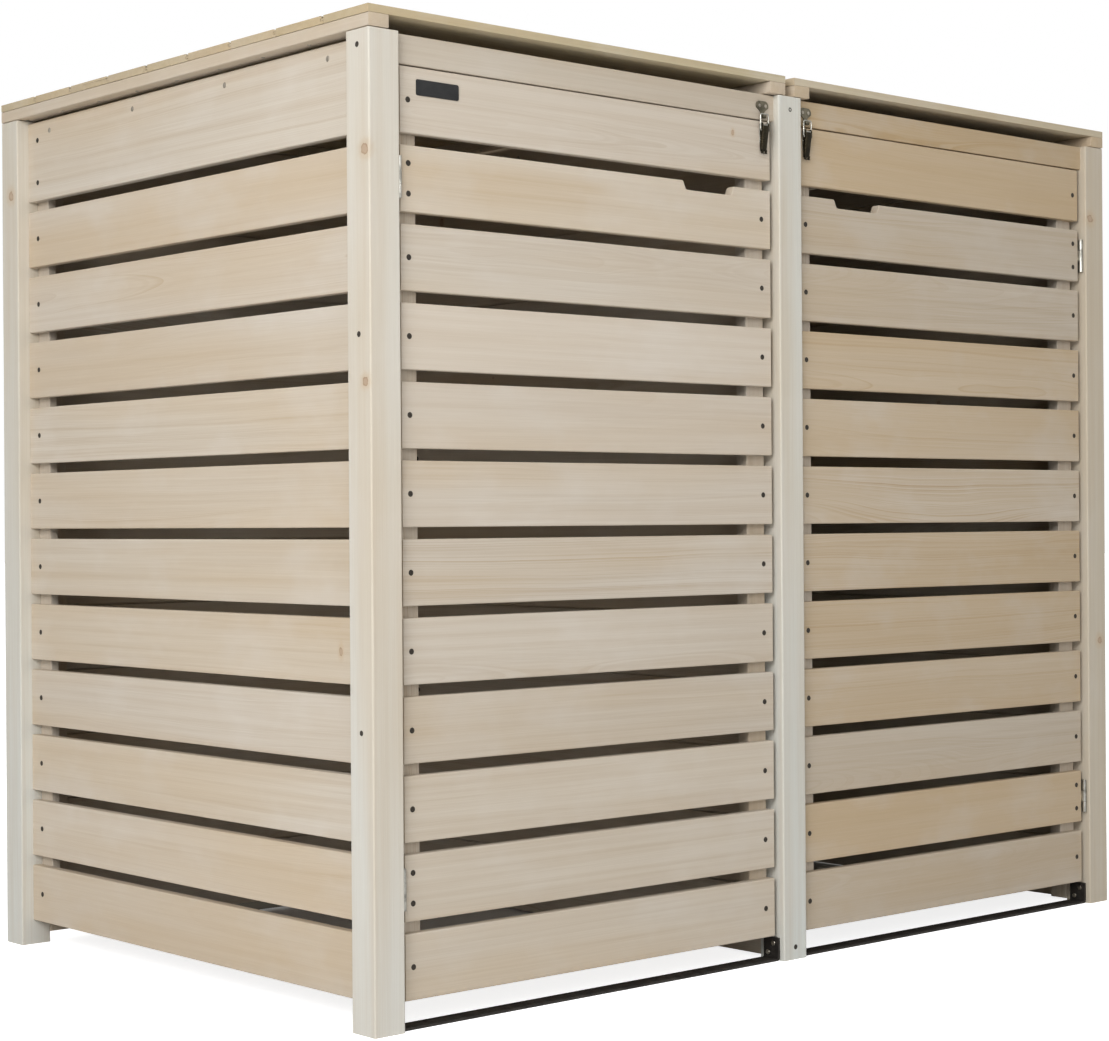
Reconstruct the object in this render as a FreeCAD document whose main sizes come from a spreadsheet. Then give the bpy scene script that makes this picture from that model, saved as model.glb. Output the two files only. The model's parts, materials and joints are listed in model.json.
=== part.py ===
"""Wheelie bin store: a slatted timber box for two wheeled bins.

Six square posts carry a slatted left wall, and a partition, a right wall and back walls of close boards.
Each bay has a hinged slatted door with a toggle latch in front and a hinged, flat boarded lid on top. It
has no floor: the bins stand on the ground. Lengths are in millimetres. X runs to the right along the
doors, Y from front to back, Z up. The origin is on the ground, under the middle of the whole store, its
lid hinges included.
"""
import FreeCAD, Part
import math
import os
import re

import Sketcher

Vector = FreeCAD.Vector
Constraint = Sketcher.Constraint
LEFT, RIGHT = -1, 1
SIDES = {"left": LEFT, "right": RIGHT}

doc = FreeCAD.newDocument("wheelie_bin_store")
nodes = []

SIZES = {
    # posts and the clear spaces between them
    "post_side": 45, "bay_width": 648, "side_span": 783,
    # slats of the doors and the left wall; the other walls' boards keep their step and reach lower,
    # the partition and the right wall almost to the ground
    "slat_height": 79, "slat_gap": 14, "slat_count": 12, "slat_thickness": 14, "ground_gap": 34,
    "board_ground_gap": 3, "back_ground_gap": 15,
    # side and back walls stand back from the posts' outer faces, battens fill the rest of a post
    "wall_recess": 18, "wall_top_drop": 4, "batten_width": 30, "top_rail_height": 42,
    "partition_inset": 5,
    # rails between the posts' tops, over the doors and over the back walls
    "rail_height": 35.5, "rail_thickness": 22, "door_head_gap": 1.5,
    # doors
    "door_recess": 10, "door_side_gap": 8, "stile_width": 34, "stile_thickness": 20,
    "grip_inset": 117, "grip_top_width": 98, "grip_floor_width": 78, "grip_depth": 12, "grip_round": 6,
    "plate_width": 65, "plate_height": 19, "plate_thickness": 1, "plate_inset": 24, "plate_drop": 14,
    # lids
    "lid_gap": 18, "lid_seat_gap": 1, "lid_rail_width": 30, "lid_rail_height": 16,
    "board_count": 9, "board_cover": 98, "board_thickness": 10, "board_joint_gap": 0.6,
    "board_chamfer": 2.5, "tongue_thickness": 3.2, "tongue_length": 5, "tongue_clearance": 0.5,
    # rounded long edges of the timber
    "post_round": 3, "slat_round": 2,
    # threshold bars, flat steel folded up against the posts
    "bar_width": 28, "bar_thickness": 3, "bar_setback": 8, "bar_end_height": 31,
    # butt hinges: three knuckles on one pin
    "knuckle_radius": 3, "pin_radius": 1.4, "pin_clearance": 0.08, "knuckle_play": 0.5,
    "leaf_thickness": 1.5, "leaf_play": 0.5,
    "door_hinge_length": 50, "door_leaf_width": 30,
    "lid_hinge_length": 60, "lid_leaf_width": 22, "lid_hinge_inset": 110, "lid_pivot_offset": 4,
    # toggle latches: base and lever on the door, wire bail on the lever, keeper on the rail above
    "left_latch_inset": 15, "right_latch_inset": 9.5, "latch_pivot_drop": 6, "latch_pin_radius": 1,
    "base_width": 11, "base_below": 26, "base_above": 3, "base_thickness": 1.2,
    "ear_spacing": 7, "ear_thickness": 1.2, "ear_radius": 2,
    "lever_width": 12, "lever_wall": 1, "lever_below": 39, "lever_head_radius": 3.3, "lever_play": 0.5,
    "lever_depth": 7.9, "lever_tip_depth": 2.4, "lever_lip": 1.6, "lever_lip_gap": 2.4,
    "bail_throw": 7, "bail_reach": 22, "bail_radius": 1, "bail_side_gap": 0.6,
    "keeper_radius": 6.5, "keeper_eye_offset": 5.2, "keeper_thickness": 1.5, "keeper_above_bail": 11.5,
    "keeper_width": 7, "throat_width": 16, "throat_low": 9.5, "throat_high": 4,
    "hook_height": 4, "hook_gap": 0.4,
    # screws through slats, rails and posts, and smaller ones through hinges, latches and keepers
    "screw_head_radius": 3.6, "screw_shank_radius": 1.8, "screw_length": 25,
    "small_head_radius": 2.4, "small_shank_radius": 1.3, "small_length": 14,
    "front_screw_inset": 19, "rear_screw_inset": 26, "wall_screw_inset": 26,
    "top_screw_inset": 60, "top_screw_drop": 16, "top_screw_count": 4,
    "hinge_side_margin": 12, "left_latch_margin": 17, "right_latch_margin": 10, "screw_pair_offset": 18,
    "bar_screw_low": 10, "bar_screw_high": 23, "bar_screw_side": 5,
    "post_screw_low_row": 3, "post_screw_high_row": 8,
    "leaf_screw_inset": 7, "leaf_screw_step": 13, "keeper_screw_offset": 5.7, "base_screw_offset": 8,
}

sheet = doc.addObject("Spreadsheet::Sheet", "Sizes")
for row, (alias, number) in enumerate(SIZES.items(), 1):
    sheet.set(f"A{row}", alias)
    sheet.set(f"B{row}", str(number))
    sheet.setAlias(f"B{row}", alias)
doc.recompute()

layout = doc.addObject("App::VarSet", "Layout")
LAYOUT = {
    # across: the middle posts stand on the centre line, so one half serves both sides
    "inner": "post_side / 2",
    "outer": "post_side / 2 + bay_width",
    "half_width": "3 * post_side / 2 + bay_width",
    # front to back
    "hinge_proud": "lid_pivot_offset + knuckle_radius",
    "depth": "2 * post_side + side_span",
    "front": "-(depth + hinge_proud) / 2",
    "inner_front": "front + post_side",
    "inner_back": "front + post_side + side_span",
    "back": "front + depth",
    # up
    "pitch": "slat_height + slat_gap",
    "batten_thickness": "post_side - wall_recess - slat_thickness",
    "slats_top": "ground_gap + pitch * slat_count - slat_gap",
    "top_slat_foot": "slats_top - slat_height",
    "wall_board_face": "pitch - board_joint_gap",
    "top_wall_board_foot": "board_ground_gap + pitch * (slat_count - 1)",
    "top_back_board_foot": "back_ground_gap + pitch * (slat_count - 1)",
    "rail_foot": "slats_top + door_head_gap",
    "post_height": "rail_foot + rail_height",
    "wall_top": "post_height - wall_top_drop",
    "top_rail_foot": "wall_top - top_rail_height",
    "lid_foot": "post_height + lid_seat_gap",
    "boards_foot": "lid_foot + lid_rail_height",
    "low_hinge_height": "ground_gap + pitch + slat_height / 2",
    "high_hinge_height": "ground_gap + pitch * (slat_count - 2) + slat_height / 2",
    # walls and doors, measured out from the centre line
    "wall_inner": "outer + batten_thickness",
    "wall_outer": "wall_inner + slat_thickness",
    "partition_left": "-inner + partition_inset",
    "partition_right": "partition_left + slat_thickness",
    "back_boards_front": "back - wall_recess - slat_thickness",
    "door_near": "inner + door_side_gap",
    "door_far": "outer - door_side_gap",
    "door_face": "front + door_recess",
    "door_back": "door_face + slat_thickness",
    "door_pivot_across": "outer - door_side_gap / 2",
    "door_pivot_along": "door_face - knuckle_radius",
    "lid_near": "lid_gap / 2",
    "lid_pivot_along": "back + lid_pivot_offset",
    "lid_pivot_height": "post_height + lid_seat_gap / 2",
    "front_board": "depth - board_cover * (board_count - 1)",
    # latches
    "left_latch_across": "door_near + left_latch_inset",
    "right_latch_across": "door_near + right_latch_inset",
    "latch_height": "slats_top - latch_pivot_drop",
    "latch_pivot_out": "base_thickness + lever_head_radius + lever_play",
    "latch_out": "door_face - latch_pivot_out",
    "hook_out": "latch_pivot_out + bail_radius",
    "bail_pivot": "latch_height - bail_throw",
    "bail_top": "bail_pivot + bail_reach",
    "keeper_height": "bail_top + keeper_above_bail",
    "hook_top": "bail_top - bail_radius - hook_gap",
    "bail_half": "lever_width / 2 + bail_side_gap + bail_radius",
}


def bound(text):
    """Point the plain names of an expression at the sheet and at the layout."""
    def owner(match):
        name = match.group(0)
        if name in SIZES:
            return "Sizes." + name
        return "Layout." + name if name in LAYOUT else name
    return re.sub(r"[a-z_]+", owner, str(text))


for derived, formula in LAYOUT.items():
    layout.addProperty("App::PropertyFloat", derived, "Derived", "")
    layout.setExpression(derived, bound(formula))
doc.recompute()


def size(name):
    """A driving or derived length as a number, read from the document."""
    return float(getattr(sheet if name in SIZES else layout, name))


def node(thing, name):
    """Name a finished sub-part, which is written to a file of that name."""
    thing.Label = name
    nodes.append(thing)
    return thing


def stretch(start, sign, length):
    """A span of this length, leaving start in the direction of sign, as (low end, length)."""
    return (start, length) if sign > 0 else (f"{start} - ({length})", length)


def mirrored(side, near, far):
    """A span from near to far, counted outwards from the centre line on one side of it."""
    length = f"{far} - ({near})"
    return (near, length) if side == RIGHT else (f"-({far})", length)


# Timber: sections drawn on an origin plane and run along the grain

PLANES = {"x": ("YZ_Plane", "yz"), "y": ("XZ_Plane", "xz"), "z": ("XY_Plane", "xy")}


def section_sketch(body, along, spans):
    """An empty sketch across the grain, its own origin at the low corner of the spans."""
    role, across = PLANES[along]
    sketch = body.newObject("Sketcher::SketchObject", body.Name + "_section")
    planes = [feature for feature in body.Origin.OriginFeatures if feature.Role == role]
    sketch.AttachmentSupport = [(planes[0], "")]
    sketch.MapMode = "FlatFace"
    sketch.setExpression("AttachmentOffset.Base.x", bound(spans[across[0]][0]))
    sketch.setExpression("AttachmentOffset.Base.y", bound(spans[across[1]][0]))
    start = spans[along][0]
    sketch.setExpression("AttachmentOffset.Base.z", bound(f"-({start})" if along == "y" else start))
    return sketch


def dimension(sketch, name, constraint, formula):
    """Add one constraint whose value follows a formula."""
    index = sketch.addConstraint(constraint)
    sketch.renameConstraint(index, name)
    sketch.setExpression("Constraints." + name, bound(formula))


def draw_rounded_rectangle(sketch, width, height, radius):
    """A rectangle from the sketch's origin, with four equal round corners."""
    guess_w, guess_h, guess_r = 60, 50, 2

    def corner(x, y, quarter):
        circle = Part.Circle(Vector(x, y, 0), Vector(0, 0, 1), guess_r)
        start = math.pi / 2 * quarter
        return Part.ArcOfCircle(circle, start, start + math.pi / 2)

    def side(x1, y1, x2, y2):
        return Part.LineSegment(Vector(x1, y1, 0), Vector(x2, y2, 0))

    low, right, high = guess_r, guess_w - guess_r, guess_h - guess_r
    sketch.addGeometry([
        side(low, 0, right, 0), corner(right, low, 3),
        side(guess_w, low, guess_w, high), corner(right, high, 0),
        side(right, guess_h, low, guess_h), corner(low, high, 1),
        side(0, high, 0, low), corner(low, low, 2)])
    sketch.addConstraint([Constraint("Tangent", i, 2, (i + 1) % 8, 1) for i in range(8)])
    sketch.addConstraint([
        Constraint("Horizontal", 0), Constraint("Horizontal", 4),
        Constraint("Vertical", 2), Constraint("Vertical", 6),
        Constraint("Equal", 1, 3), Constraint("Equal", 1, 5), Constraint("Equal", 1, 7),
        Constraint("PointOnObject", 0, 1, -1), Constraint("PointOnObject", 6, 1, -2)])
    dimension(sketch, "corner", Constraint("Radius", 1, guess_r), radius)
    dimension(sketch, "width", Constraint("DistanceX", 6, 1, 2, 1, guess_w), width)
    dimension(sketch, "height", Constraint("DistanceY", 0, 1, 4, 1, guess_h), height)


def draw_outline(sketch, points):
    """A closed polygon; each point is a pair of formulas, and "0" lies on the axis."""
    doc.recompute()
    places = []
    for u, v in points:
        places.append(Vector(number_of(u), number_of(v), 0))
    count = len(places)
    sketch.addGeometry([Part.LineSegment(places[i], places[(i + 1) % count]) for i in range(count)])
    sketch.addConstraint([Constraint("Coincident", i, 2, (i + 1) % count, 1) for i in range(count)])
    for i, (u, v) in enumerate(points):
        for kind, formula, axis in (("DistanceX", u, -2), ("DistanceY", v, -1)):
            if formula == "0":
                sketch.addConstraint(Constraint("PointOnObject", i, 1, axis))
            else:
                guess = places[i].x if kind == "DistanceX" else places[i].y
                dimension(sketch, f"{kind[-1]}{i}", Constraint(kind, -1, 1, i, 1, guess), formula)


probe = doc.addObject("App::VarSet", "Probe")
probe.addProperty("App::PropertyFloat", "number", "Derived", "")


def number_of(formula):
    """The present value of a formula."""
    probe.setExpression("number", bound(formula))
    probe.recompute()
    return probe.number


def run_section(body, sketch, along, length):
    """Pad a section along the grain, towards the positive axis."""
    pad = body.newObject("PartDesign::Pad", body.Name + "_run")
    pad.Profile = sketch
    pad.Reversed = along == "y"
    pad.setExpression("Length", bound(length))
    sketch.Visibility = False
    body.Tip = pad
    return pad


def repeat(body, feature, sketch, along, axis, step, count):
    """Copy a run at equal steps along one of its section's axes."""
    pattern = body.newObject("PartDesign::LinearPattern", body.Name + "_rows")
    pattern.Originals = [feature]
    pattern.Direction = (sketch, ["H_Axis" if PLANES[along][1][0] == axis else "V_Axis"])
    pattern.setExpression("Length", bound(f"({step}) * ({count} - 1)"))
    pattern.setExpression("Occurrences", bound(count))
    body.Tip = pattern


def new_body(name):
    body = doc.addObject("PartDesign::Body", name)
    body.AllowCompound = True
    return node(body, name)


def board(body, along, x, y, z, radius="slat_round", rows=None):
    """A sawn and planed board with round long edges; rows is (axis, step, count)."""
    spans = {"x": x, "y": y, "z": z}
    across = PLANES[along][1]
    sketch = section_sketch(body, along, spans)
    draw_rounded_rectangle(sketch, spans[across[0]][1], spans[across[1]][1], radius)
    run = run_section(body, sketch, along, spans[along][1])
    if rows:
        repeat(body, run, sketch, along, *rows)
    return body


SLAT_ROWS = ("z", "pitch", "slat_count")


# Solids made from primitives: hinges, latches and plates

def place(thing, x, y, z):
    for axis, formula in zip("xyz", (x, y, z)):
        thing.setExpression("Placement.Base." + axis, bound(formula))


def block(name, x, y, z):
    thing = doc.addObject("Part::Box", name)
    for field, span in zip(("Length", "Width", "Height"), (x, y, z)):
        thing.setExpression(field, bound(span[1]))
    place(thing, x[0], y[0], z[0])
    return thing


def tapered_block(name, z, low, high):
    """A block on the door's face whose lower and upper ends differ.

    Each end is a span across and a pair of distances outward from the door's face.
    """
    thing = doc.addObject("Part::Wedge", name)
    thing.Placement.Rotation = FreeCAD.Rotation(Vector(1, 0, 0), 90)
    thing.setExpression("Ymax", bound(z[1]))
    for mark, (across, outward) in (("", low), ("2", high)):
        thing.setExpression(f"X{mark}min", bound(across[0]))
        thing.setExpression(f"X{mark}max", bound(f"{across[0]} + {across[1]}"))
        thing.setExpression(f"Z{mark}min", bound(outward[0]))
        thing.setExpression(f"Z{mark}max", bound(outward[1]))
    place(thing, "0", "door_face", z[0])
    return thing


def rod(name, radius, along, x, y, z):
    """A cylinder along one axis: its span there is a pair, the other two are centre formulas."""
    thing = doc.addObject("Part::Cylinder", name)
    directions = {"x": Vector(1, 0, 0), "y": Vector(0, 1, 0), "z": Vector(0, 0, 1)}
    thing.Placement.Rotation = FreeCAD.Rotation(Vector(0, 0, 1), directions[along])
    where = {"x": x, "y": y, "z": z}
    start, length = where[along]
    where[along] = start
    thing.setExpression("Radius", bound(radius))
    thing.setExpression("Height", bound(length))
    place(thing, where["x"], where["y"], where["z"])
    return thing


def ball(name, radius, x, y, z):
    thing = doc.addObject("Part::Sphere", name)
    thing.setExpression("Radius", bound(radius))
    place(thing, x, y, z)
    return thing


def joined(name, pieces):
    thing = doc.addObject("Part::MultiFuse", name)
    thing.Shapes = pieces
    thing.Refine = True
    return thing


def pierced(name, solid, tools):
    thing = doc.addObject("Part::Cut", name)
    thing.Base = solid
    thing.Tool = tools[0] if len(tools) == 1 else joined(name + "_tools", tools)
    return thing


def grouped(name, pieces):
    thing = doc.addObject("Part::Compound", name)
    thing.Links = pieces
    return node(thing, name)


# Posts

def make_posts():
    across = {"left": ("-half_width", "post_side"), "middle": ("-inner", "post_side"),
              "right": ("outer", "post_side")}
    along = {"front": ("front", "post_side"), "back": ("inner_back", "post_side")}
    for row, y in along.items():
        for place_name, x in across.items():
            body = new_body(f"{row}_{place_name}_post")
            board(body, "z", x, y, ("0", "post_height"), "post_round")


# Walls

BETWEEN_POSTS = ("inner_front", "side_span")


def wall_slats(name, along, x, y, top):
    """Equal slats, then a wider top one that reaches up under the lid."""
    body = new_body(name)
    board(body, along, x, y, ("ground_gap", "slat_height"), rows=("z", "pitch", "slat_count - 1"))
    board(body, along, x, y, ("top_slat_foot", f"{top} - top_slat_foot"))


def wall_board_outline(height, grooved, tongued):
    """Section of one close-fitting wall board: groove and chamfers below, tongue above."""
    low = "(slat_thickness - tongue_thickness) / 2"
    high = "(slat_thickness + tongue_thickness) / 2"
    points = [("0", "0"), ("slat_thickness", "0")]
    if grooved:
        deep = "tongue_length + tongue_clearance"
        slack = "tongue_clearance / 2"
        points = [("0", "board_chamfer"), ("board_chamfer", "0"),
                  (f"{low} - {slack}", "0"), (f"{low} - {slack}", deep),
                  (f"{high} + {slack}", deep), (f"{high} + {slack}", "0"),
                  ("slat_thickness - board_chamfer", "0"), ("slat_thickness", "board_chamfer")]
    points += [("slat_thickness", height)]
    if tongued:
        tip = f"{height} + tongue_length"
        points += [(high, height), (high, tip), (low, tip), (low, height)]
    return points + [("0", height)]


def wall_board(body, along, x, y, z, grooved, tongued, rows=None):
    spans = {"x": x, "y": y, "z": z}
    sketch = section_sketch(body, along, spans)
    draw_outline(sketch, wall_board_outline(z[1], grooved, tongued))
    run = run_section(body, sketch, along, spans[along][1])
    if rows:
        repeat(body, run, sketch, along, *rows)


def wall_boards(name, along, x, y, top, foot="board_ground_gap", top_foot="top_wall_board_foot"):
    """Tongued and grooved boards from just above the ground, then a wider top one."""
    body = new_body(name)
    wall_board(body, along, x, y, (foot, "wall_board_face"), False, True)
    wall_board(body, along, x, y, (f"{foot} + pitch", "wall_board_face"), True, True,
               ("z", "pitch", "slat_count - 2"))
    wall_board(body, along, x, y, (top_foot, f"{top} - {top_foot}"), True, False)


CLADDING = {"slats": (wall_slats, "ground_gap"), "boards": (wall_boards, "board_ground_gap")}


def side_wall(name, kind, face_x, battens_x):
    """Slats or boards on two upright battens, one against each post, and a rail behind the top one."""
    clad, foot = CLADDING[kind]
    clad(f"{name}_{kind}", "y", face_x, BETWEEN_POSTS, "wall_top")
    board(new_body(name + "_battens"), "z", battens_x, ("inner_front", "batten_width"),
          (foot, f"top_rail_foot - {foot}"), rows=("y", "side_span - batten_width", "2"))
    board(new_body(name + "_top_rail"), "y", battens_x, BETWEEN_POSTS, ("top_rail_foot", "top_rail_height"))


def make_walls():
    for word, kind in (("left", "slats"), ("right", "boards")):
        side = SIDES[word]
        side_wall(word + "_wall", kind, mirrored(side, "wall_inner", "wall_outer"),
                  mirrored(side, "outer", "wall_inner"))
    side_wall("partition", "boards", ("partition_left", "slat_thickness"),
              ("partition_right", "batten_thickness"))


def make_back_walls():
    for word, side in SIDES.items():
        bay = mirrored(side, "inner", "outer")
        wall_boards(f"{word}_back_boards", "x", bay, ("back_boards_front", "slat_thickness"), "slats_top",
                    "back_ground_gap", "top_back_board_foot")
        battens = new_body(f"{word}_back_battens")
        thickness = ("back_boards_front - batten_thickness", "batten_thickness")
        board(battens, "z", (bay[0], "batten_width"), thickness,
              ("back_ground_gap", "slats_top - back_ground_gap"),
              rows=("x", "bay_width - batten_width", "2"))


def make_bay_rails():
    height = ("rail_foot", "rail_height")
    for word, side in SIDES.items():
        bay = mirrored(side, "inner", "outer")
        board(new_body(f"{word}_front_rail"), "x", bay, ("door_face", "rail_thickness"), height)
        board(new_body(f"{word}_back_rail"), "x", bay, ("back - rail_thickness", "rail_thickness"), height)


def make_threshold_bars():
    """A flat steel bar on the ground across each doorway, with both ends folded up."""
    length, up, thick = "bay_width", "bar_end_height", "bar_thickness"
    outline = [("0", "0"), (length, "0"), (length, up), (f"{length} - {thick}", up),
               (f"{length} - {thick}", thick), (thick, thick), (thick, up), ("0", up)]
    body = new_body("threshold_bars")
    spans = {"x": ("-outer", length), "y": ("front + bar_setback", "bar_width"), "z": ("0", up)}
    sketch = section_sketch(body, "y", spans)
    draw_outline(sketch, outline)
    bar = run_section(body, sketch, "y", "bar_width")
    repeat(body, bar, sketch, "y", "x", "bay_width + post_side", "2")


# Doors

def cut_grip(body, word, side):
    """A hand grip cut in the top edge of the second slat from the top, wider at its mouth."""
    centre = "door_near + grip_inset" if side == RIGHT else "-(door_near + grip_inset)"
    floor = "top_slat_foot - slat_gap - grip_depth"
    sketch = section_sketch(body, "y", {"x": (centre, "0"), "y": ("door_face", "0"), "z": (floor, "0")})
    half_top, half_floor, top, radius = 49, 39, 19, 6
    left_centre, right_centre = Vector(-half_floor, radius, 0), Vector(half_floor, radius, 0)
    axis = Vector(0, 0, 1)
    slope = math.radians(20)
    right_arc = Part.ArcOfCircle(Part.Circle(right_centre, axis, radius), -math.pi / 2, -slope)
    left_arc = Part.ArcOfCircle(Part.Circle(left_centre, axis, radius), math.pi + slope, 3 * math.pi / 2)
    right_end = right_centre + Vector(radius * math.cos(slope), -radius * math.sin(slope), 0)
    left_end = left_centre + Vector(-radius * math.cos(slope), -radius * math.sin(slope), 0)
    top_right, top_left = Vector(half_top, top, 0), Vector(-half_top, top, 0)
    sketch.addGeometry([
        Part.LineSegment(Vector(-half_floor, 0, 0), Vector(half_floor, 0, 0)), right_arc,
        Part.LineSegment(right_end, top_right), Part.LineSegment(top_right, top_left),
        Part.LineSegment(top_left, left_end), left_arc])
    sketch.addConstraint([
        Constraint("Tangent", 0, 2, 1, 1), Constraint("Tangent", 1, 2, 2, 1),
        Constraint("Coincident", 2, 2, 3, 1), Constraint("Coincident", 3, 2, 4, 1),
        Constraint("Tangent", 4, 2, 5, 1), Constraint("Tangent", 5, 2, 0, 1),
        Constraint("Equal", 1, 5), Constraint("Symmetric", 0, 1, 0, 2, -2),
        Constraint("Symmetric", 3, 1, 3, 2, -2), Constraint("PointOnObject", 0, 1, -1)])
    dimension(sketch, "floor", Constraint("DistanceX", 0, 1, 0, 2, 2 * half_floor), "grip_floor_width")
    dimension(sketch, "mouth", Constraint("DistanceX", 3, 2, 3, 1, 2 * half_top), "grip_top_width")
    dimension(sketch, "top", Constraint("DistanceY", 0, 1, 3, 1, top), "grip_depth + slat_gap / 2")
    dimension(sketch, "corner", Constraint("Radius", 1, radius), "grip_round")
    before = body.Tip
    pocket = body.newObject("PartDesign::Pocket", f"{word}_grip")
    pocket.Profile = sketch
    pocket.setExpression("Length", bound("slat_thickness"))
    body.Tip = pocket
    doc.recompute()
    if pocket.Shape.Volume > before.Shape.Volume - 1:
        raise ValueError("the hand grip cut nothing")


def make_doors():
    for word, side in SIDES.items():
        width = mirrored(side, "door_near", "door_far")
        slats = new_body(f"{word}_door_slats")
        board(slats, "x", width, ("door_face", "slat_thickness"), ("ground_gap", "slat_height"),
              rows=SLAT_ROWS)
        cut_grip(slats, word, side)
        stiles = new_body(f"{word}_door_stiles")
        first = (width[0], "stile_width")
        board(stiles, "z", first, ("door_back", "stile_thickness"),
              ("ground_gap", "slats_top - ground_gap"), rows=("x", "door_far - door_near - stile_width", "2"))
    plate = block("name_plate", ("-door_far + plate_inset", "plate_width"),
                  ("door_face - plate_thickness", "plate_thickness"),
                  ("slats_top - plate_drop - plate_height", "plate_height"))
    node(plate, "blank_plate")


# Butt hinges

def hinge_leaf(name, axes, run, centre, face, toward, reach, width, own):
    """One leaf: a plate on the wood, and necks that carry its own knuckles round the pin.

    axes names the axis of thickness, of reach and of the pin. run is the span of the whole hinge
    along its pin, centre the pin's two other places, and face where the wood is. toward is the
    direction from the wood to the pin, reach the direction in which the plate leaves it. own lists
    which of the three knuckles belong to this leaf.
    """
    def spans(thickness, outward, length):
        return [dict(zip(axes, (thickness, outward, length)))[axis] for axis in "xyz"]

    start, total = run
    clear = "(knuckle_radius + leaf_play)"
    plate_start = f"{centre[1]} + {reach} * {clear}"
    pieces = [block(name + "_plate", *spans(stretch(face, toward, "leaf_thickness"),
                                            stretch(plate_start, reach, f"{width} - {clear}"), run))]
    offset = f"{toward} * (({centre[0]}) - ({face}))"
    for index in own:
        low = f"{start} + {index} * ({total}) / 3 + knuckle_play / 2"
        piece = (low, f"({total}) / 3 - knuckle_play")
        neck = spans(stretch(face, toward, offset), stretch(centre[1], reach, clear), piece)
        pieces.append(block(f"{name}_neck_{index}", *neck))
        pieces.append(rod(f"{name}_knuckle_{index}", "knuckle_radius", axes[2],
                          *spans(centre[0], centre[1], piece)))
    bore = rod(name + "_bore", "pin_radius + pin_clearance", axes[2], *spans(centre[0], centre[1], run))
    return pierced(name, joined(name + "_solid", pieces), [bore])


def hinge_pin(name, axes, run, centre):
    spans = dict(zip(axes, (centre[0], centre[1], run)))
    return rod(name, "pin_radius", axes[2], spans["x"], spans["y"], spans["z"])


def signed(side, formula):
    return formula if side == RIGHT else f"-({formula})"


def make_door_hinges():
    axes = "xyz"
    post_leaves, pins = [], []
    for word, side in SIDES.items():
        door_leaves = []
        centre = (signed(side, "door_pivot_across"), "door_pivot_along")
        for level in ("low", "high"):
            run = (f"{level}_hinge_height - door_hinge_length / 2", "door_hinge_length")
            name = f"{word}_{level}"
            post_leaves.append(hinge_leaf(name + "_post_leaf", axes, run, centre, signed(side, "outer"),
                                          -side, 1, "door_leaf_width", (0, 2)))
            door_leaves.append(hinge_leaf(name + "_door_leaf", axes, run, centre,
                                          signed(side, "door_far"), side, 1, "door_leaf_width", (1,)))
            pins.append(hinge_pin(name + "_door_pin", axes, run, centre))
        grouped(f"{word}_door_hinge_leaves", door_leaves)
    grouped("door_hinge_post_leaves", post_leaves)
    grouped("door_hinge_pins", pins)


def make_lid_hinges():
    axes = "yzx"
    rail_leaves, pins = [], []
    centre = ("lid_pivot_along", "lid_pivot_height")
    for word, side in SIDES.items():
        lid_leaves = []
        starts = {"near": "lid_near + lid_hinge_inset",
                  "far": "half_width - lid_hinge_inset - lid_hinge_length"}
        for which, start in starts.items():
            run = mirrored(side, start, f"({start} + lid_hinge_length)")
            name = f"{word}_{which}"
            rail_leaves.append(hinge_leaf(name + "_rail_leaf", axes, run, centre, "back", 1, -1,
                                          "lid_leaf_width", (0, 2)))
            lid_leaves.append(hinge_leaf(name + "_lid_leaf", axes, run, centre, "back", 1, 1,
                                         "lid_leaf_width", (1,)))
            pins.append(hinge_pin(name + "_lid_pin", axes, run, centre))
        grouped(f"{word}_lid_hinge_leaves", lid_leaves)
    grouped("lid_hinge_rail_leaves", rail_leaves)
    grouped("lid_hinge_pins", pins)


# Lids

def lid_board_outline(width, grooved, tongued):
    """Section of one board from front to back: groove and chamfer in front, tongue behind."""
    middle = "board_thickness / 2"
    low = f"{middle} - tongue_thickness / 2"
    high = f"{middle} + tongue_thickness / 2"
    points = [("0", "0"), (width, "0")]
    if tongued:
        tip = f"{width} + tongue_length"
        points += [(width, low), (tip, low), (tip, high), (width, high)]
    points += [(width, "board_thickness")]
    if grooved:
        points += [("board_chamfer", "board_thickness"), ("0", "board_thickness - board_chamfer")]
        deep = "tongue_length + tongue_clearance"
        slack = "tongue_clearance / 2"
        points += [("0", f"{high} + {slack}"), (deep, f"{high} + {slack}"),
                   (deep, f"{low} - {slack}"), ("0", f"{low} - {slack}")]
    else:
        points += [("0", "board_thickness")]
    return points


def lid_board(body, x, start, outline, rows=None):
    spans = {"x": x, "y": (start, "board_cover"), "z": ("boards_foot", "board_thickness")}
    sketch = section_sketch(body, "x", spans)
    draw_outline(sketch, outline)
    run = run_section(body, sketch, "x", x[1])
    if rows:
        repeat(body, run, sketch, "x", *rows)


def make_lids():
    face = "board_cover - board_joint_gap"
    for word, side in SIDES.items():
        width = mirrored(side, "lid_near", "half_width")
        boards = new_body(f"{word}_lid_boards")
        lid_board(boards, width, "front", lid_board_outline("front_board - board_joint_gap", False, True))
        lid_board(boards, width, "front + front_board", lid_board_outline(face, True, True),
                  ("y", "board_cover", "board_count - 2"))
        lid_board(boards, width, "back - board_cover", lid_board_outline("board_cover", True, False))
        rails = new_body(f"{word}_lid_side_rails")
        height = ("lid_foot", "lid_rail_height")
        board(rails, "y", (width[0], "lid_rail_width"), ("front", "depth"), height,
              rows=("x", "half_width - lid_near - lid_rail_width", "2"))
        between = mirrored(side, "lid_near + lid_rail_width", "half_width - lid_rail_width")
        board(new_body(f"{word}_lid_hinge_rail"), "x", between,
              ("back - lid_rail_width", "lid_rail_width"), height)


# Toggle latches

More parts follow.
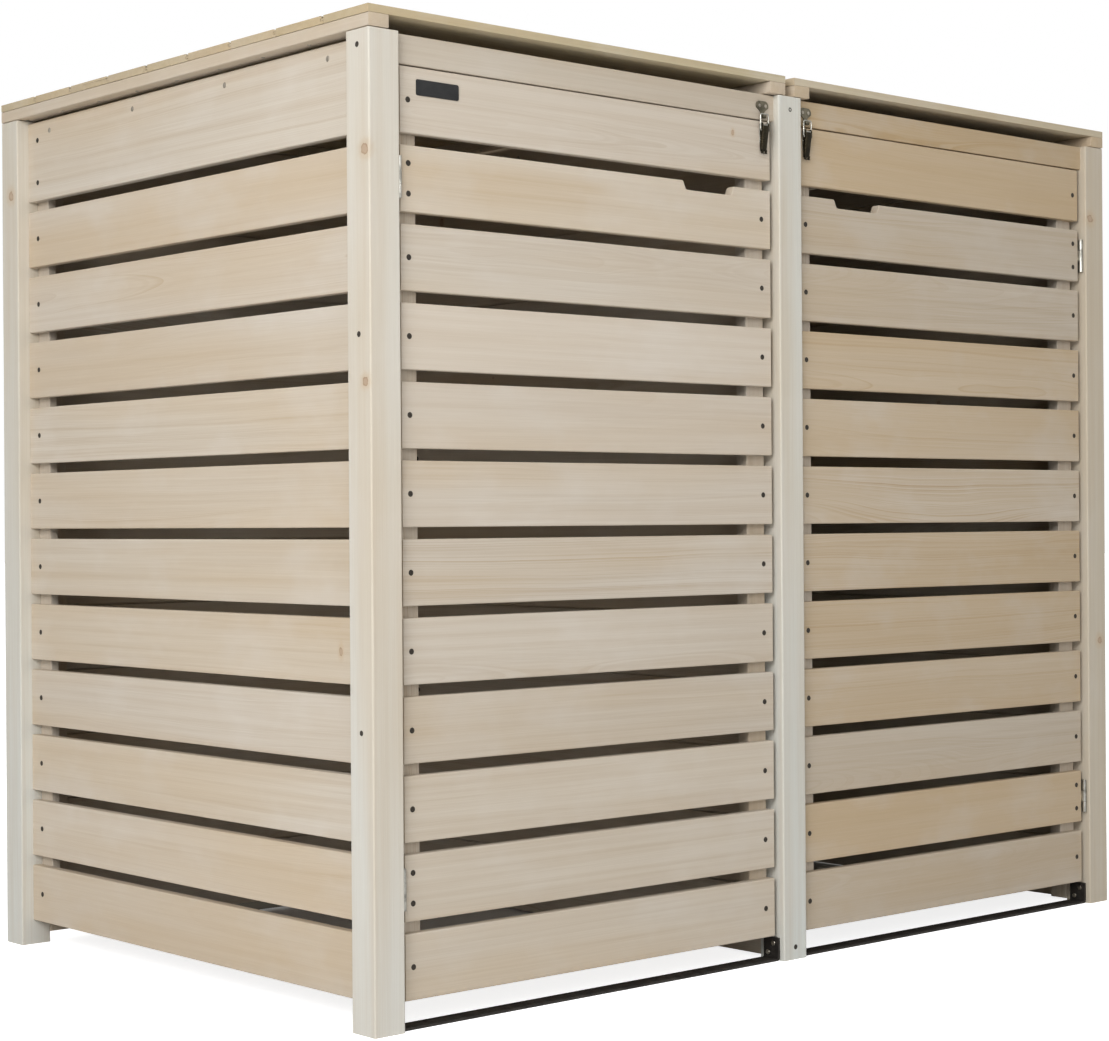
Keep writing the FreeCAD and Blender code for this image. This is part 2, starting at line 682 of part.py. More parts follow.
def make_latch(word, side):
    """Base and pin on the door, lever on the pin, wire bail on the lever; returns the rail's keeper.

    The bail's bar is drawn just above the keeper's lip, so that lever and door both move freely.
    """
    across = signed(side, f"{word}_latch_across")

    def centred(width):
        return (f"{across} - ({width}) / 2", width)

    def outward(near, far):
        return (f"door_face - ({far})", f"{far} - ({near})")

    def to_side(sign, inner_face, thickness):
        return stretch(f"{across} + {sign} * ({inner_face})", sign, thickness)

    def cross_rod(name, radius, length, along_y, height):
        return rod(f"{word}_{name}", radius, "x", centred(length), along_y, height)

    pin_hole = "latch_pin_radius + pin_clearance"
    base = [block(f"{word}_base_plate", centred("base_width"), outward("0", "base_thickness"),
                  ("latch_height - base_below", "base_below + base_above"))]
    for sign in (-1, 1):
        ear = to_side(sign, "ear_spacing / 2", "ear_thickness")
        base.append(block(f"{word}_ear_{sign}", ear, outward("0", "latch_pivot_out"),
                          ("latch_height - ear_radius", "2 * ear_radius")))
        base.append(rod(f"{word}_ear_end_{sign}", "ear_radius", "x", ear, "latch_out", "latch_height"))
    ear_bore = cross_rod("ear_bore", pin_hole, "lever_width", "latch_out", "latch_height")
    node(pierced(f"{word}_base", joined(f"{word}_base_solid", base), [ear_bore]), f"{word}_latch_base")
    pin_length = "lever_width + bail_side_gap"
    pin = cross_rod("lever_pin", "latch_pin_radius", pin_length, "latch_out", "latch_height")
    node(pin, f"{word}_latch_pin")

    # the lever's face leans from its full depth at the pin to a shallow tip
    foot, back = "latch_height - lever_below", "latch_pivot_out - lever_head_radius"
    tip_face, pin_face = f"{back} + lever_tip_depth", f"{back} + lever_depth"
    cover_share = "(lever_below - ear_radius) / lever_below"
    cover_top = f"{tip_face} + (lever_depth - lever_tip_depth) * {cover_share}"
    cover = centred("lever_width")
    lever = [tapered_block(f"{word}_cover", (foot, "lever_below - ear_radius"),
                           (cover, (f"{tip_face} - lever_wall", tip_face)),
                           (cover, (f"{cover_top} - lever_wall", cover_top)))]
    for sign in (-1, 1):
        cheek = to_side(sign, "lever_width / 2 - lever_wall", "lever_wall")
        lever.append(tapered_block(f"{word}_cheek_{sign}", (foot, "lever_below"),
                                   (cheek, (back, tip_face)), (cheek, (back, pin_face))))
        lever.append(rod(f"{word}_cheek_head_{sign}", "lever_head_radius", "x", cheek, "latch_out",
                         "latch_height"))
        lip = to_side(sign, "lever_lip_gap / 2", "(lever_width - lever_lip_gap) / 2")
        lever.append(block(f"{word}_lip_{sign}", lip, outward(tip_face, f"{tip_face} + lever_lip"),
                           (foot, "lever_wall")))
    holes = [cross_rod("pin_hole", pin_hole, "2 * lever_width", "latch_out", "latch_height"),
             cross_rod("bail_hole", "bail_radius + pin_clearance", "2 * lever_width", "latch_out",
                       "bail_pivot")]
    node(pierced(f"{word}_lever", joined(f"{word}_lever_solid", lever), holes), f"{word}_latch_lever")

    wire = [cross_rod("bail_bar", "bail_radius", "2 * bail_half", "latch_out", "bail_top")]
    for sign in (-1, 1):
        leg = f"{across} + {sign} * bail_half"
        wire.append(rod(f"{word}_bail_leg_{sign}", "bail_radius", "z", leg, "latch_out",
                        ("bail_pivot", "bail_reach")))
        inward = stretch(leg, -sign, "bail_half - lever_width / 2 + lever_wall")
        wire.append(rod(f"{word}_bail_stub_{sign}", "bail_radius", "x", inward, "latch_out", "bail_pivot"))
        for end, height in (("low", "bail_pivot"), ("high", "bail_top")):
            wire.append(ball(f"{word}_bail_{end}_bend_{sign}", "bail_radius", leg, "latch_out", height))
    node(joined(f"{word}_bail", wire), f"{word}_latch_bail")

    # the keeper: two screw eyes side by side, a throat down to a narrow neck, and a hook
    sheet_metal, hook_foot = outward("0", "keeper_thickness"), "hook_top - hook_height"
    keeper = [rod(f"{word}_eye_{sign}", "keeper_radius", "y", f"{across} + {sign} * keeper_eye_offset",
                  sheet_metal, "keeper_height") for sign in (-1, 1)]
    keeper.append(block(f"{word}_eyes", centred("2 * keeper_eye_offset"), sheet_metal,
                        ("keeper_height - keeper_radius", "2 * keeper_radius")))
    keeper.append(tapered_block(f"{word}_throat", ("keeper_height - throat_low", "throat_low - throat_high"),
                                (centred("keeper_width"), ("0", "keeper_thickness")),
                                (centred("throat_width"), ("0", "keeper_thickness"))))
    keeper.append(block(f"{word}_neck", centred("keeper_width"), sheet_metal,
                        (hook_foot, f"keeper_height - ({hook_foot})")))
    keeper.append(block(f"{word}_shelf", centred("keeper_width"), outward("0", "hook_out"),
                        (hook_foot, "keeper_thickness")))
    keeper.append(block(f"{word}_hook", centred("keeper_width"),
                        outward("hook_out - keeper_thickness", "hook_out"), (hook_foot, "hook_height")))
    return joined(f"{word}_keeper", keeper)


# Screws

def screw(place, direction, kind="screw", proud=0):
    """A countersunk screw: head face at the given place, shank in the given direction."""
    head, shank, length = (size(f"{kind}_{part}") for part in ("head_radius", "shank_radius", "length"))
    into = Vector(*direction)
    top = Vector(*place) - into * proud
    taper = head - shank
    if proud:
        shape = Part.makeCylinder(head, proud, top, into)
        top, taper = top + into * proud, 0
    else:
        shape = Part.makeCone(head, shank, taper, top, into)
    return shape.fuse(Part.makeCylinder(shank, length - taper, top + into * taper, into)).removeSplitter()


def small_screw(place, direction):
    return screw(place, direction, "small", size("leaf_thickness") / 4)


def screws(name, shapes):
    thing = doc.addObject("Part::Feature", name)
    thing.Shape = Part.makeCompound(shapes)
    node(thing, name)


def all_rows():
    return int(size("slat_count"))


def row_centres(foot, face, rows):
    """Middle heights of the lowest rows of slats or boards."""
    middle = size(foot) + size(face) / 2
    return [middle + size("pitch") * row for row in range(rows)]


def slat_centres(rows):
    return row_centres("ground_gap", "slat_height", rows)


def evenly(first, last, count):
    return [first + (last - first) * index / (count - 1) for index in range(count)]


# lower edge of the lowest row, height of one row, lower edge of the wide top row
SLAT_WALL_ROWS = ("ground_gap", "slat_height", "top_slat_foot")
BOARD_WALL_ROWS = ("board_ground_gap", "wall_board_face", "top_wall_board_foot")
BACK_WALL_ROWS = ("back_ground_gap", "wall_board_face", "top_back_board_foot")


def wall_screw_heights(rows, top):
    """One screw per slat or board, two in the wide top one."""
    foot, face, top_foot = rows
    drop = size("wall_screw_inset")
    return row_centres(foot, face, all_rows() - 1) + [size(top_foot) + drop, size(top) - drop]


def wall_faces():
    """Place and inward direction of the outer face of each side wall and the partition, and its rows."""
    return ((-size("wall_outer"), 1, SLAT_WALL_ROWS), (size("wall_outer"), -1, BOARD_WALL_ROWS),
            (size("partition_left"), 1, BOARD_WALL_ROWS))


def wall_screws():
    """Both ends of every slat or board of the side walls and the partition."""
    ends = (size("inner_front") + size("front_screw_inset"), size("inner_back") - size("rear_screw_inset"))
    return [screw((face, along, height), (into, 0, 0))
            for face, into, rows in wall_faces() for along in ends
            for height in wall_screw_heights(rows, "wall_top")]


def back_screws():
    face = size("back_boards_front") + size("slat_thickness")
    ends = (size("inner") + size("front_screw_inset"), size("outer") - size("front_screw_inset"))
    return [screw((side * across, face, height), (0, -1, 0))
            for side in SIDES.values() for across in ends
            for height in wall_screw_heights(BACK_WALL_ROWS, "slats_top")]


def post_screws():
    """Outer faces of the front corner posts, and the middle post's front above and below the doors."""
    rail_height = size("rail_foot") + size("rail_height") / 2
    slats = slat_centres(all_rows())
    low, high = (slats[int(size(f"post_screw_{row}_row"))] for row in ("low", "high"))
    shapes = []
    for side in SIDES.values():
        for height in (rail_height, high, low):
            place = (side * size("half_width"), size("front") + size("post_side") / 2, height)
            shapes.append(screw(place, (-side, 0, 0)))
    for height in (rail_height, size("ground_gap") / 2):
        shapes.append(screw((0, size("front"), height), (0, 1, 0)))
    return shapes


def top_rail_screws():
    """A row through each side wall's and the partition's top slat into the rail behind it."""
    inset = size("top_screw_inset")
    places = evenly(size("inner_front") + inset, size("inner_back") - inset, int(size("top_screw_count")))
    return [screw((face, along, size("wall_top") - size("top_screw_drop")), (into, 0, 0))
            for face, into, rows in wall_faces() for along in places]


def bar_screws():
    """Two round-headed screws through each folded end of a threshold bar into the post."""
    middle = size("front") + size("bar_setback") + size("bar_width") / 2
    thickness, step = size("bar_thickness"), size("bar_screw_side")
    shapes = []
    levels = ((size("bar_screw_low"), middle + step), (size("bar_screw_high"), middle - step))
    for side in SIDES.values():
        for post_face, into in ((side * size("outer"), side), (side * size("inner"), -side)):
            for height, along in levels:
                shapes.append(screw((post_face - into * thickness, along, height), (into, 0, 0),
                                    proud=thickness / 2))
    return shapes


def keeper_screws():
    face = size("door_face") - size("keeper_thickness")
    offset = size("keeper_screw_offset")
    return [small_screw((side * size(f"{word}_latch_across") + step, face, size("keeper_height")), (0, 1, 0))
            for word, side in SIDES.items() for step in (-offset, offset)]


def door_leaf_screws(side, wood, into):
    """Three screws through each hinge leaf on a post's or a door's side face."""
    face = side * (size(wood) - into * size("leaf_thickness"))
    along = size("door_pivot_along") + size("door_leaf_width") - size("leaf_screw_inset")
    reach = size("leaf_screw_step")
    return [small_screw((face, along, size(f"{level}_hinge_height") + step), (side * into, 0, 0))
            for level in ("low", "high") for step in evenly(-reach, reach, 3)]


def lid_leaf_screws(side, up):
    """Three screws through each lid hinge leaf, into the rail behind the leaf."""
    face = size("back") + size("leaf_thickness")
    height = size("lid_pivot_height") + up * (size("lid_leaf_width") / 2)
    inset, reach = size("lid_hinge_inset") + size("lid_hinge_length") / 2, size("leaf_screw_step")
    return [small_screw((side * (middle + step), face, height), (0, -1, 0))
            for middle in (size("lid_near") + inset, size("half_width") - inset)
            for step in evenly(-reach, reach, 3)]


def board_screws(side):
    """One screw from below through each side rail of a lid into each of its boards."""
    first = size("front") + size("front_board") / 2
    lines = [first, *(size("back") - size("board_cover") * (row + 0.5)
                      for row in range(int(size("board_count")) - 1))]
    half_rail = size("lid_rail_width") / 2
    rails = (size("lid_near") + half_rail, size("half_width") - half_rail)
    length = size("lid_rail_height") + size("board_thickness") / 2
    head, shank = size("small_head_radius"), size("small_shank_radius")
    shapes = []
    for across in rails:
        for along in lines:
            foot = Vector(side * across, along, size("lid_foot"))
            cone = Part.makeCone(head, shank, head - shank, foot)
            shapes.append(cone.fuse(Part.makeCylinder(shank, length, foot)).removeSplitter())
    return shapes


def door_screws(word, side):
    """Hinge side, two in the slats behind the hinges; latch side, none behind the latch itself."""
    face, offset, rows = size("door_face"), size("screw_pair_offset"), all_rows()
    hinge_side = side * (size("door_far") - size("hinge_side_margin"))
    latch_side = side * (size("door_near") + size(f"{word}_latch_margin"))
    shapes = []
    for row, middle in enumerate(slat_centres(rows)):
        paired = row in (1, rows - 2)
        for height in (middle - offset, middle + offset) if paired else (middle,):
            shapes.append(screw((hinge_side, face, height), (0, 1, 0)))
    for height in slat_centres(rows - 1):
        shapes.append(screw((latch_side, face, height), (0, 1, 0)))
    base_middle = size("latch_height") - size("base_below") / 2
    for step in (-size("base_screw_offset"), size("base_screw_offset")):
        place = (side * size(f"{word}_latch_across"), face - size("base_thickness"), base_middle + step)
        shapes.append(small_screw(place, (0, 1, 0)))
    return shapes + door_leaf_screws(side, "door_far", -1)


def make_screws():
    screws("frame_screws", wall_screws() + back_screws() + post_screws())
    bright = top_rail_screws() + bar_screws() + keeper_screws()
    for word, side in SIDES.items():
        bright += door_leaf_screws(side, "outer", 1) + lid_leaf_screws(side, -1)
        screws(f"{word}_door_screws", door_screws(word, side))
        screws(f"{word}_lid_screws", lid_leaf_screws(side, 1) + board_screws(side))
    screws("zinc_screws", bright)


make_posts()
make_walls()
make_back_walls()
make_bay_rails()
make_threshold_bars()
make_doors()
make_door_hinges()
make_lid_hinges()
make_lids()
grouped("latch_keepers", [make_latch(word, side) for word, side in SIDES.items()])
doc.recompute()
make_screws()
doc.recompute()

for thing in doc.Objects:
    if "Invalid" in thing.State or "Error" in thing.State:
        raise ValueError(f"{thing.Name} failed: {thing.State}")
for thing in nodes:
    if thing.Shape.isNull() or not thing.Shape.isValid() or not thing.Shape.Solids:
        raise ValueError(f"{thing.Label} has no sound solid")

os.makedirs("parts", exist_ok=True)
for thing in nodes:
    thing.Shape.exportStep(f"parts/{thing.Label}.step")
print(len(nodes), "sub-parts,", sum(len(thing.Shape.Solids) for thing in nodes), "solids")
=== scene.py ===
"""Looks of the wheelie bin store: spruce boards, screws, latches, hinges and steel bars on the CAD frame.

Metres, in the frame of the CAD model: X to the right along the doors, Y to the back, Z up.
"""
import json
import math

import bpy
import numpy as np
from mathutils import Matrix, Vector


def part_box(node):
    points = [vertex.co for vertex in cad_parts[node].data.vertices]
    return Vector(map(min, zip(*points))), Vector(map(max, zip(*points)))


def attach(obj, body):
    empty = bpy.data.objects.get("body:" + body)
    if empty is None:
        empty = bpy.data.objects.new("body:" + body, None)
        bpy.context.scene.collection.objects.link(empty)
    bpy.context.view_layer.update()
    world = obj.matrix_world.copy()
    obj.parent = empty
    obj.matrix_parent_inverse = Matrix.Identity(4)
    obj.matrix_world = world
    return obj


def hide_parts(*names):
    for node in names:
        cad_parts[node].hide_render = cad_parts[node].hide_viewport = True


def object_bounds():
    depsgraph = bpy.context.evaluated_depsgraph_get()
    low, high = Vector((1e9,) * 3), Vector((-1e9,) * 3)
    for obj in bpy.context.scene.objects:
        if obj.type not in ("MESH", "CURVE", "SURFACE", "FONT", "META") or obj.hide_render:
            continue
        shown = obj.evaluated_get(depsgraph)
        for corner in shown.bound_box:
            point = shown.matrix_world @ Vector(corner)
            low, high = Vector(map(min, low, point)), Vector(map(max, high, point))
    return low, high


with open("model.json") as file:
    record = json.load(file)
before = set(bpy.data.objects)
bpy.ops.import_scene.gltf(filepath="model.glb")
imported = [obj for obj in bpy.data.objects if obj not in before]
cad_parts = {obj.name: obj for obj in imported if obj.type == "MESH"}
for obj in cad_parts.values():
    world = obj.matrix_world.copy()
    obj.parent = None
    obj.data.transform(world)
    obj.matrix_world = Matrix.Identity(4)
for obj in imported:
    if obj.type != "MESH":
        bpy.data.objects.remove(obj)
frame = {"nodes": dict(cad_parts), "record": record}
cad_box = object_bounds()
body_of = {node: body for body, nodes in frame["record"]["behaviour"]["bodies"].items() for node in nodes}

MM = 0.001
X, Y, Z = 0, 1, 2
SURROUND_LIGHT, FLOOR_WHITE = 0.30, 0.82


# The frame's solids

def box(node):
    low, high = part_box(node)
    return np.array(low), np.array(high)


def solids(node):
    """Corner points of each separate solid of a CAD node, as a list of arrays.

    Equal places get one number. Every triangle then passes its smallest label on to its corners,
    until each solid has one label.
    """
    mesh = frame["nodes"][node].data
    places = np.empty(len(mesh.vertices) * 3, np.float32)
    mesh.vertices.foreach_get("co", places)
    mesh.calc_loop_triangles()
    corners = np.empty(len(mesh.loop_triangles) * 3, np.int32)
    mesh.loop_triangles.foreach_get("vertices", corners)
    points, same = np.unique(np.round(places.reshape(-1, 3), 6), axis=0, return_inverse=True)
    triangles = same.ravel()[corners].reshape(-1, 3)
    label = np.arange(len(points))
    while True:
        lowest = label[triangles].min(axis=1)
        spread = label.copy()
        np.minimum.at(spread, triangles.ravel(), np.repeat(lowest, 3))
        spread = spread[spread]
        if (spread == label).all():
            break
        label = spread
    return [points[label == one].astype(float) for one in np.unique(label)]


def random_for(node):
    """The same random numbers for a node on each run."""
    return np.random.default_rng(sum(ord(letter) * (place + 7) for place, letter in enumerate(node)))


# Meshes

class Shell:
    """Points, faces and point attributes of a piece, gathered part by part."""

    def __init__(self):
        self.points, self.faces, self.values, self.count = [], [], {}, 0

    def tube(self, points, flip=False, **values):
        """A closed tube from rows of points round it: quads between them, and a face over each end.

        Rows that turn the other way round need flipped faces. A value is one for each point, or one
        vector for all.
        """
        rows, columns = points.shape[:2]
        row, column = np.meshgrid(np.arange(rows - 1) * columns, np.arange(columns), indexing="ij")
        after = (column + 1) % columns
        quads = np.stack([row + column, row + after, row + columns + after, row + columns + column], axis=-1)
        ends = np.arange(columns)
        for faces in (quads.reshape(-1, 4), ends[None, ::-1], (ends + (rows - 1) * columns)[None]):
            self.faces.extend((faces[:, ::-1 if flip else 1] + self.count).tolist())
        self.points.append(points.reshape(-1, 3))
        for name, value in values.items():
            each = value if len(value) == rows * columns else np.tile(value, (rows * columns, 1))
            self.values.setdefault(name, []).append(each)
        self.count += rows * columns

    def mesh(self, name, sharp):
        mesh = bpy.data.meshes.new(name)
        mesh.from_pydata(np.concatenate(self.points).tolist(), [], self.faces)
        for key, parts in self.values.items():
            whole = np.concatenate(parts)
            vector = whole.ndim == 2
            layer = mesh.attributes.new(key, "FLOAT_VECTOR" if vector else "FLOAT", "POINT")
            layer.data.foreach_set("vector" if vector else "value", whole.ravel())
        mesh.shade_smooth()
        mesh.set_sharp_from_angle(angle=math.radians(sharp))
        return mesh


def add_object(name, data):
    thing = bpy.data.objects.new(name, data)
    bpy.context.scene.collection.objects.link(thing)
    return thing


def piece(node, ending, shell, material, sharp=35):
    """A visible piece that stands for a CAD node and rides on that node's body."""
    name = f"{node}_{ending}"
    thing = add_object(name, shell.mesh(name, sharp))
    thing.data.materials.append(material)
    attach(thing, body_of[node])
    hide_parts(node)


def rounded_outline(corners, radius, steps=3, support=0.7 * MM):
    """A closed outline, counter-clockwise: its places, and the outward way in which each one shrinks.

    Each outer corner becomes an arc of the radius with a support point on either side. Each inner
    corner stays one point, and shrinks along its bisector.
    """
    corners = np.asarray(corners, float)
    come_by = corners - np.roll(corners, 1, axis=0)
    come_by /= np.linalg.norm(come_by, axis=1)[:, None]
    places, outward = [], []
    for corner, come, leave in zip(corners, come_by, np.roll(come_by, -1, axis=0)):
        first, second = np.array([come[1], -come[0]]), np.array([leave[1], -leave[0]])
        bisector = (first + second) / (1 + first @ second)
        if come[0] * leave[1] - come[1] * leave[0] <= 0:
            places.append(corner)
            outward.append(bisector)
            continue
        centre = corner - bisector * radius
        turn = np.linspace(0, math.acos(np.clip(first @ second, -1, 1)), steps + 1)
        side = np.array([-first[1], first[0]])
        arc = np.cos(turn)[:, None] * first + np.sin(turn)[:, None] * side
        places += [centre + radius * first - come * support, *(centre + radius * arc),
                   centre + radius * second + leave * support]
        outward += [first, *arc, second]
    return np.array(places), np.array(outward)


# sheet metal: its rims' and corners' radii, and the share of a half width that an end's radius may be
PLATE_RIM, PLATE_CORNER, NEARLY = 0.25 * MM, 2.5 * MM, 0.97


def rectangle(width, height, across=0.0, up=0.0):
    """Corners of a rectangle whose middle is at across and up."""
    left, right, foot, top = across - width / 2, across + width / 2, up - height / 2, up + height / 2
    return [(left, foot), (right, foot), (right, top), (left, top)]


def quarter_round(radius):
    """Steps of a quarter turn over an edge: how far along each one is, and how far it is shrunk."""
    turn = np.linspace(0, math.pi / 2, 4)
    return radius * (1 - np.cos(turn)), radius * (1 - np.sin(turn))


def slab(shell, corners, radius, origin, across, up, thick):
    """A flat plate: its outline carried through its thickness, each rim rounded by a quarter turn.

    The outline lies along across and up from the origin, and the thickness grows along their cross
    product.
    """
    places, outward = rounded_outline(corners, radius, steps=6, support=PLATE_RIM)
    start, shrink = quarter_round(PLATE_RIM)
    depth = np.concatenate([start, (thick - start)[::-1]])
    inset = np.concatenate([shrink, shrink[::-1]])
    flat = places[None] - inset[:, None, None] * outward[None]
    across, up = np.asarray(across, float), np.asarray(up, float)
    points = (np.asarray(origin) + flat[..., :1] * across + flat[..., 1:] * up
              + depth[:, None, None] * np.cross(across, up))
    shell.tube(points)


def upright_plate(shell, low, high, thick):
    """A plate with round corners that stands across the doors, against the back of its box."""
    middle, size = (low + high) / 2, high - low
    slab(shell, rectangle(size[X], size[Z]), PLATE_CORNER, (middle[X], high[Y], middle[Z]), (1, 0, 0),
         (0, 0, 1), thick)


def rounded_path(corners, radius, steps=6):
    """Points along a line whose inner corners are arcs of the radius."""
    corners = np.asarray(corners, float)
    points = [corners[0]]
    for before, corner, after in zip(corners, corners[1:], corners[2:]):
        come = (corner - before) / np.linalg.norm(corner - before)
        leave = (after - corner) / np.linalg.norm(after - corner)
        angle = math.acos(np.clip(come @ leave, -1, 1))
        reach = radius * math.tan(angle / 2)
        inward = (leave - come) / np.linalg.norm(leave - come)
        centre = corner + inward * radius / math.cos(angle / 2)
        turn = np.linspace(0, angle, steps + 1)[:, None]
        start = corner - come * reach - centre
        points += list(centre + np.cos(turn) * start + np.sin(turn) * come * radius)
    points.append(corners[-1])
    return np.array(points)


def carried(shell, path, side, section):
    """A section carried along a flat path: its first way lies along side, its second along the
    path's normal, which is the path's direction crossed with side."""
    side = np.asarray(side, float)
    forward = np.gradient(path, axis=0)
    forward /= np.linalg.norm(forward, axis=1)[:, None]
    normal = np.cross(forward, side)
    section = np.broadcast_to(section, (len(path),) + section.shape[-2:])
    points = path[:, None] + section[..., :1] * side + section[..., 1:] * normal[:, None]
    shell.tube(points)


def ring(radius, sides):
    angle = np.arange(sides) / sides * 2 * math.pi
    return radius * np.stack([np.cos(angle), np.sin(angle)], axis=-1)


def turned(shell, profile, centre, axis, sides=20):
    """A turned shape: each pair of the profile is a radius and a height along the axis."""
    points = np.empty((len(profile), sides, 3))
    points[..., axis] = profile[:, 1:]
    points[..., [(axis + 1) % 3, (axis + 2) % 3]] = profile[:, :1, None] * ring(1, sides)
    shell.tube(points + centre)


# Timber

END_ROUND, JOINT_ROUND, SLAT_ROUND, POST_ROUND = 0.15 * MM, 0.5 * MM, 1.5 * MM, 2 * MM
STATION_STEP = 90 * MM
# a knot outside every log, for a board with fewer than two: its place, its way from the pith, its radius
NO_KNOT = (-5.0, 0.0, MM)
POST_KNOT_RATE, SLAT_KNOT_RATE, JOINED_KNOT_RATE = 1.2, 0.12, 0.4


def stations(length, extra=()):
    """Places along a board and how far its section is shrunk there: a quarter round at each end."""
    start, inset = quarter_round(END_ROUND)
    inner = np.linspace(0, length, max(int(length / STATION_STEP), 2) + 1)[1:-1]
    inner = np.unique(np.concatenate([inner, [2 * END_ROUND, length - 2 * END_ROUND], extra]))
    along = np.concatenate([start, inner, (length - start)[::-1]])
    return along, np.concatenate([inset, np.zeros(len(inner)), inset[::-1]])


def timber(shell, low, high, corners, radius, draw, knots, tone, pith=None, notch=None):
    """One board: its section carried along the grain, its longest side.

    Every board is cut from a log of its own. The attribute "log" gives each point's place in that
    log, along it and from its pith, so that faces, edges and end grain show the same rings.
    """
    size, middle = high - low, (low + high) / 2
    grain = int(np.argmax(size))
    across = [(grain + 1) % 3, (grain + 2) % 3]
    places, outward = rounded_outline(corners, radius)
    along, inset = stations(size[grain], () if notch is None else notch["stations"])
    outline = places[None] - inset[:, None, None] * outward[None]
    if notch is not None:
        outline = notch["cut"](along, outline)
    # a planed board is never quite straight: two waves put its faces up to a quarter of a millimetre in
    long_wave, short_wave, lean, swing = 7.1, 17.3, 60, 0.06 * MM
    wander = draw.uniform(0, 2 * math.pi, 2)
    waves = (np.sin(along[:, None] * long_wave + wander[0])
             + np.sin(along[:, None] * short_wave + places[None, :, 1] * lean + wander[1]))
    outline = outline - outward[None] * ((waves + 2) * swing)[..., None]
    points = np.empty(outline.shape[:2] + (3,))
    points[..., grain] = (along + low[grain])[:, None]
    points[..., across] = outline + middle[across]
    if pith is None:
        # most boards are sawn beside the pith, some with the wide face along the rings and some across
        near, far = 20 * MM, 90 * MM
        thin = int(np.argmin(size[across]))
        pith = np.empty(2)
        pith[thin] = draw.choice([-1, 1]) * draw.uniform(near, far)
        pith[1 - thin] = draw.uniform(-far, far)
    place = draw.uniform(0.5, 9.5)
    log = np.empty_like(points)
    log[..., 0] = (along - size[grain] / 2)[:, None] + place
    log[..., 1:] = outline - pith
    end = np.where((along < END_ROUND) | (along > size[grain] - END_ROUND), 1.0, 0.0)
    branches = [NO_KNOT, NO_KNOT]
    for index, (where, side_a, side_b, thick) in enumerate(knots):
        branches[index] = (where + place, math.atan2(side_b - pith[1], side_a - pith[0]), thick)
    shell.tube(points, log=log.reshape(-1, 3), knot_1=branches[0], knot_2=branches[1], tone=tone,
               end_grain=np.repeat(end, len(places)))


# how much lighter, how much yellower, and how strongly ringed the photograph shows some boards
PLAIN_BOARD, PLAIN_POST = (0.0, 0.0, 1.0), (-0.02, 0.0, 0.8)
LIGHT_SPREAD, WARM_SPREAD, RING_STRENGTHS = 0.016, 0.6, [0.6, 0.9, 1.3, 2.4]
# the lightness here is painted shade: boards further right, and the front rails, are darkened as though less
# light reached them
NODE_TONES_AND_SHADE = {
    "left_wall_slats": (0.0, -0.15, 0.8), "left_door_slats": (-0.03, -0.1, 0.9),
    "right_door_slats": (-0.12, 0.7, 1.0), "left_front_rail": (-0.13, -0.3, 0.9),
    "right_front_rail": (-0.17, 1.7, 2.6), "left_lid_side_rails": (-0.02, 0.2, 0.8),
    "right_lid_side_rails": (-0.04, 0.1, 0.8),
}


def board_tone_and_shade(draw, node):
    """Lightness, yellowness and strength of the rings of one board; the table's lightness is painted shade.
    """
    light, warm, strength = NODE_TONES_AND_SHADE.get(node, PLAIN_BOARD)
    strength *= draw.choice(RING_STRENGTHS)
    return (light + draw.normal(0, LIGHT_SPREAD), warm + draw.uniform(-WARM_SPREAD, WARM_SPREAD), strength)


def chance_knots(draw, length, half_a, half_b, per_metre):
    """Up to two small knots, anywhere on a board but near its ends and edges."""
    ends, edges, thinnest, thickest = 0.45, 0.8, 1.4 * MM, 3.4 * MM
    count = min(draw.poisson(per_metre * length), 2)
    return [(draw.uniform(-ends, ends) * length, draw.uniform(-edges, edges) * half_a,
             draw.uniform(-edges, edges) * half_b, draw.uniform(thinnest, thickest)) for _ in range(count)]


def span(points):
    return points.min(axis=0), points.max(axis=0)


# knots that the photograph shows on the posts: height, place on the two faces, radius
POST_KNOTS = {
    "front_left_post": [(1.032, -1, -0.63, 0.005), (0.762, -1, -0.55, 0.004)],
    "back_left_post": [(1.067, -1, -0.2, 0.0055)],
    "front_right_post": [(1.061, -0.5, -1, 0.005), (0.407, 0.3, -1, 0.0045)],
}
# lightness, yellowness and ring strength of some posts; the lightness is painted shade, darker for the posts
# further right as though less light reached them
POST_TONES_AND_SHADE = {
    "front_left_post": (0.0, -0.6, 0.6), "back_left_post": (-0.01, -0.2, 0.7),
    "front_middle_post": (-0.03, 0.0, 0.8), "front_right_post": (-0.10, 0.9, 0.8),
}


def make_posts(material):
    for node in [name for name in frame["nodes"] if name.endswith("_post")]:
        draw = random_for(node)
        low, high = span(solids(node)[0])
        size, middle = high - low, (low + high) / 2
        half = size[X] / 2
        knots = [(height - middle[Z], a * half, b * half, thick)
                 for height, a, b, thick in POST_KNOTS.get(node, ())]
        knots = knots or chance_knots(draw, size[Z], half, half, POST_KNOT_RATE)
        pith = draw.uniform(-50 * MM, 50 * MM, 2) + np.array([30 * MM, 45 * MM])
        shell = Shell()
        timber(shell, low, high, rectangle(size[X], size[Y]), POST_ROUND, draw, knots,
               POST_TONES_AND_SHADE.get(node, PLAIN_POST), pith)
        piece(node, "timber", shell, material)


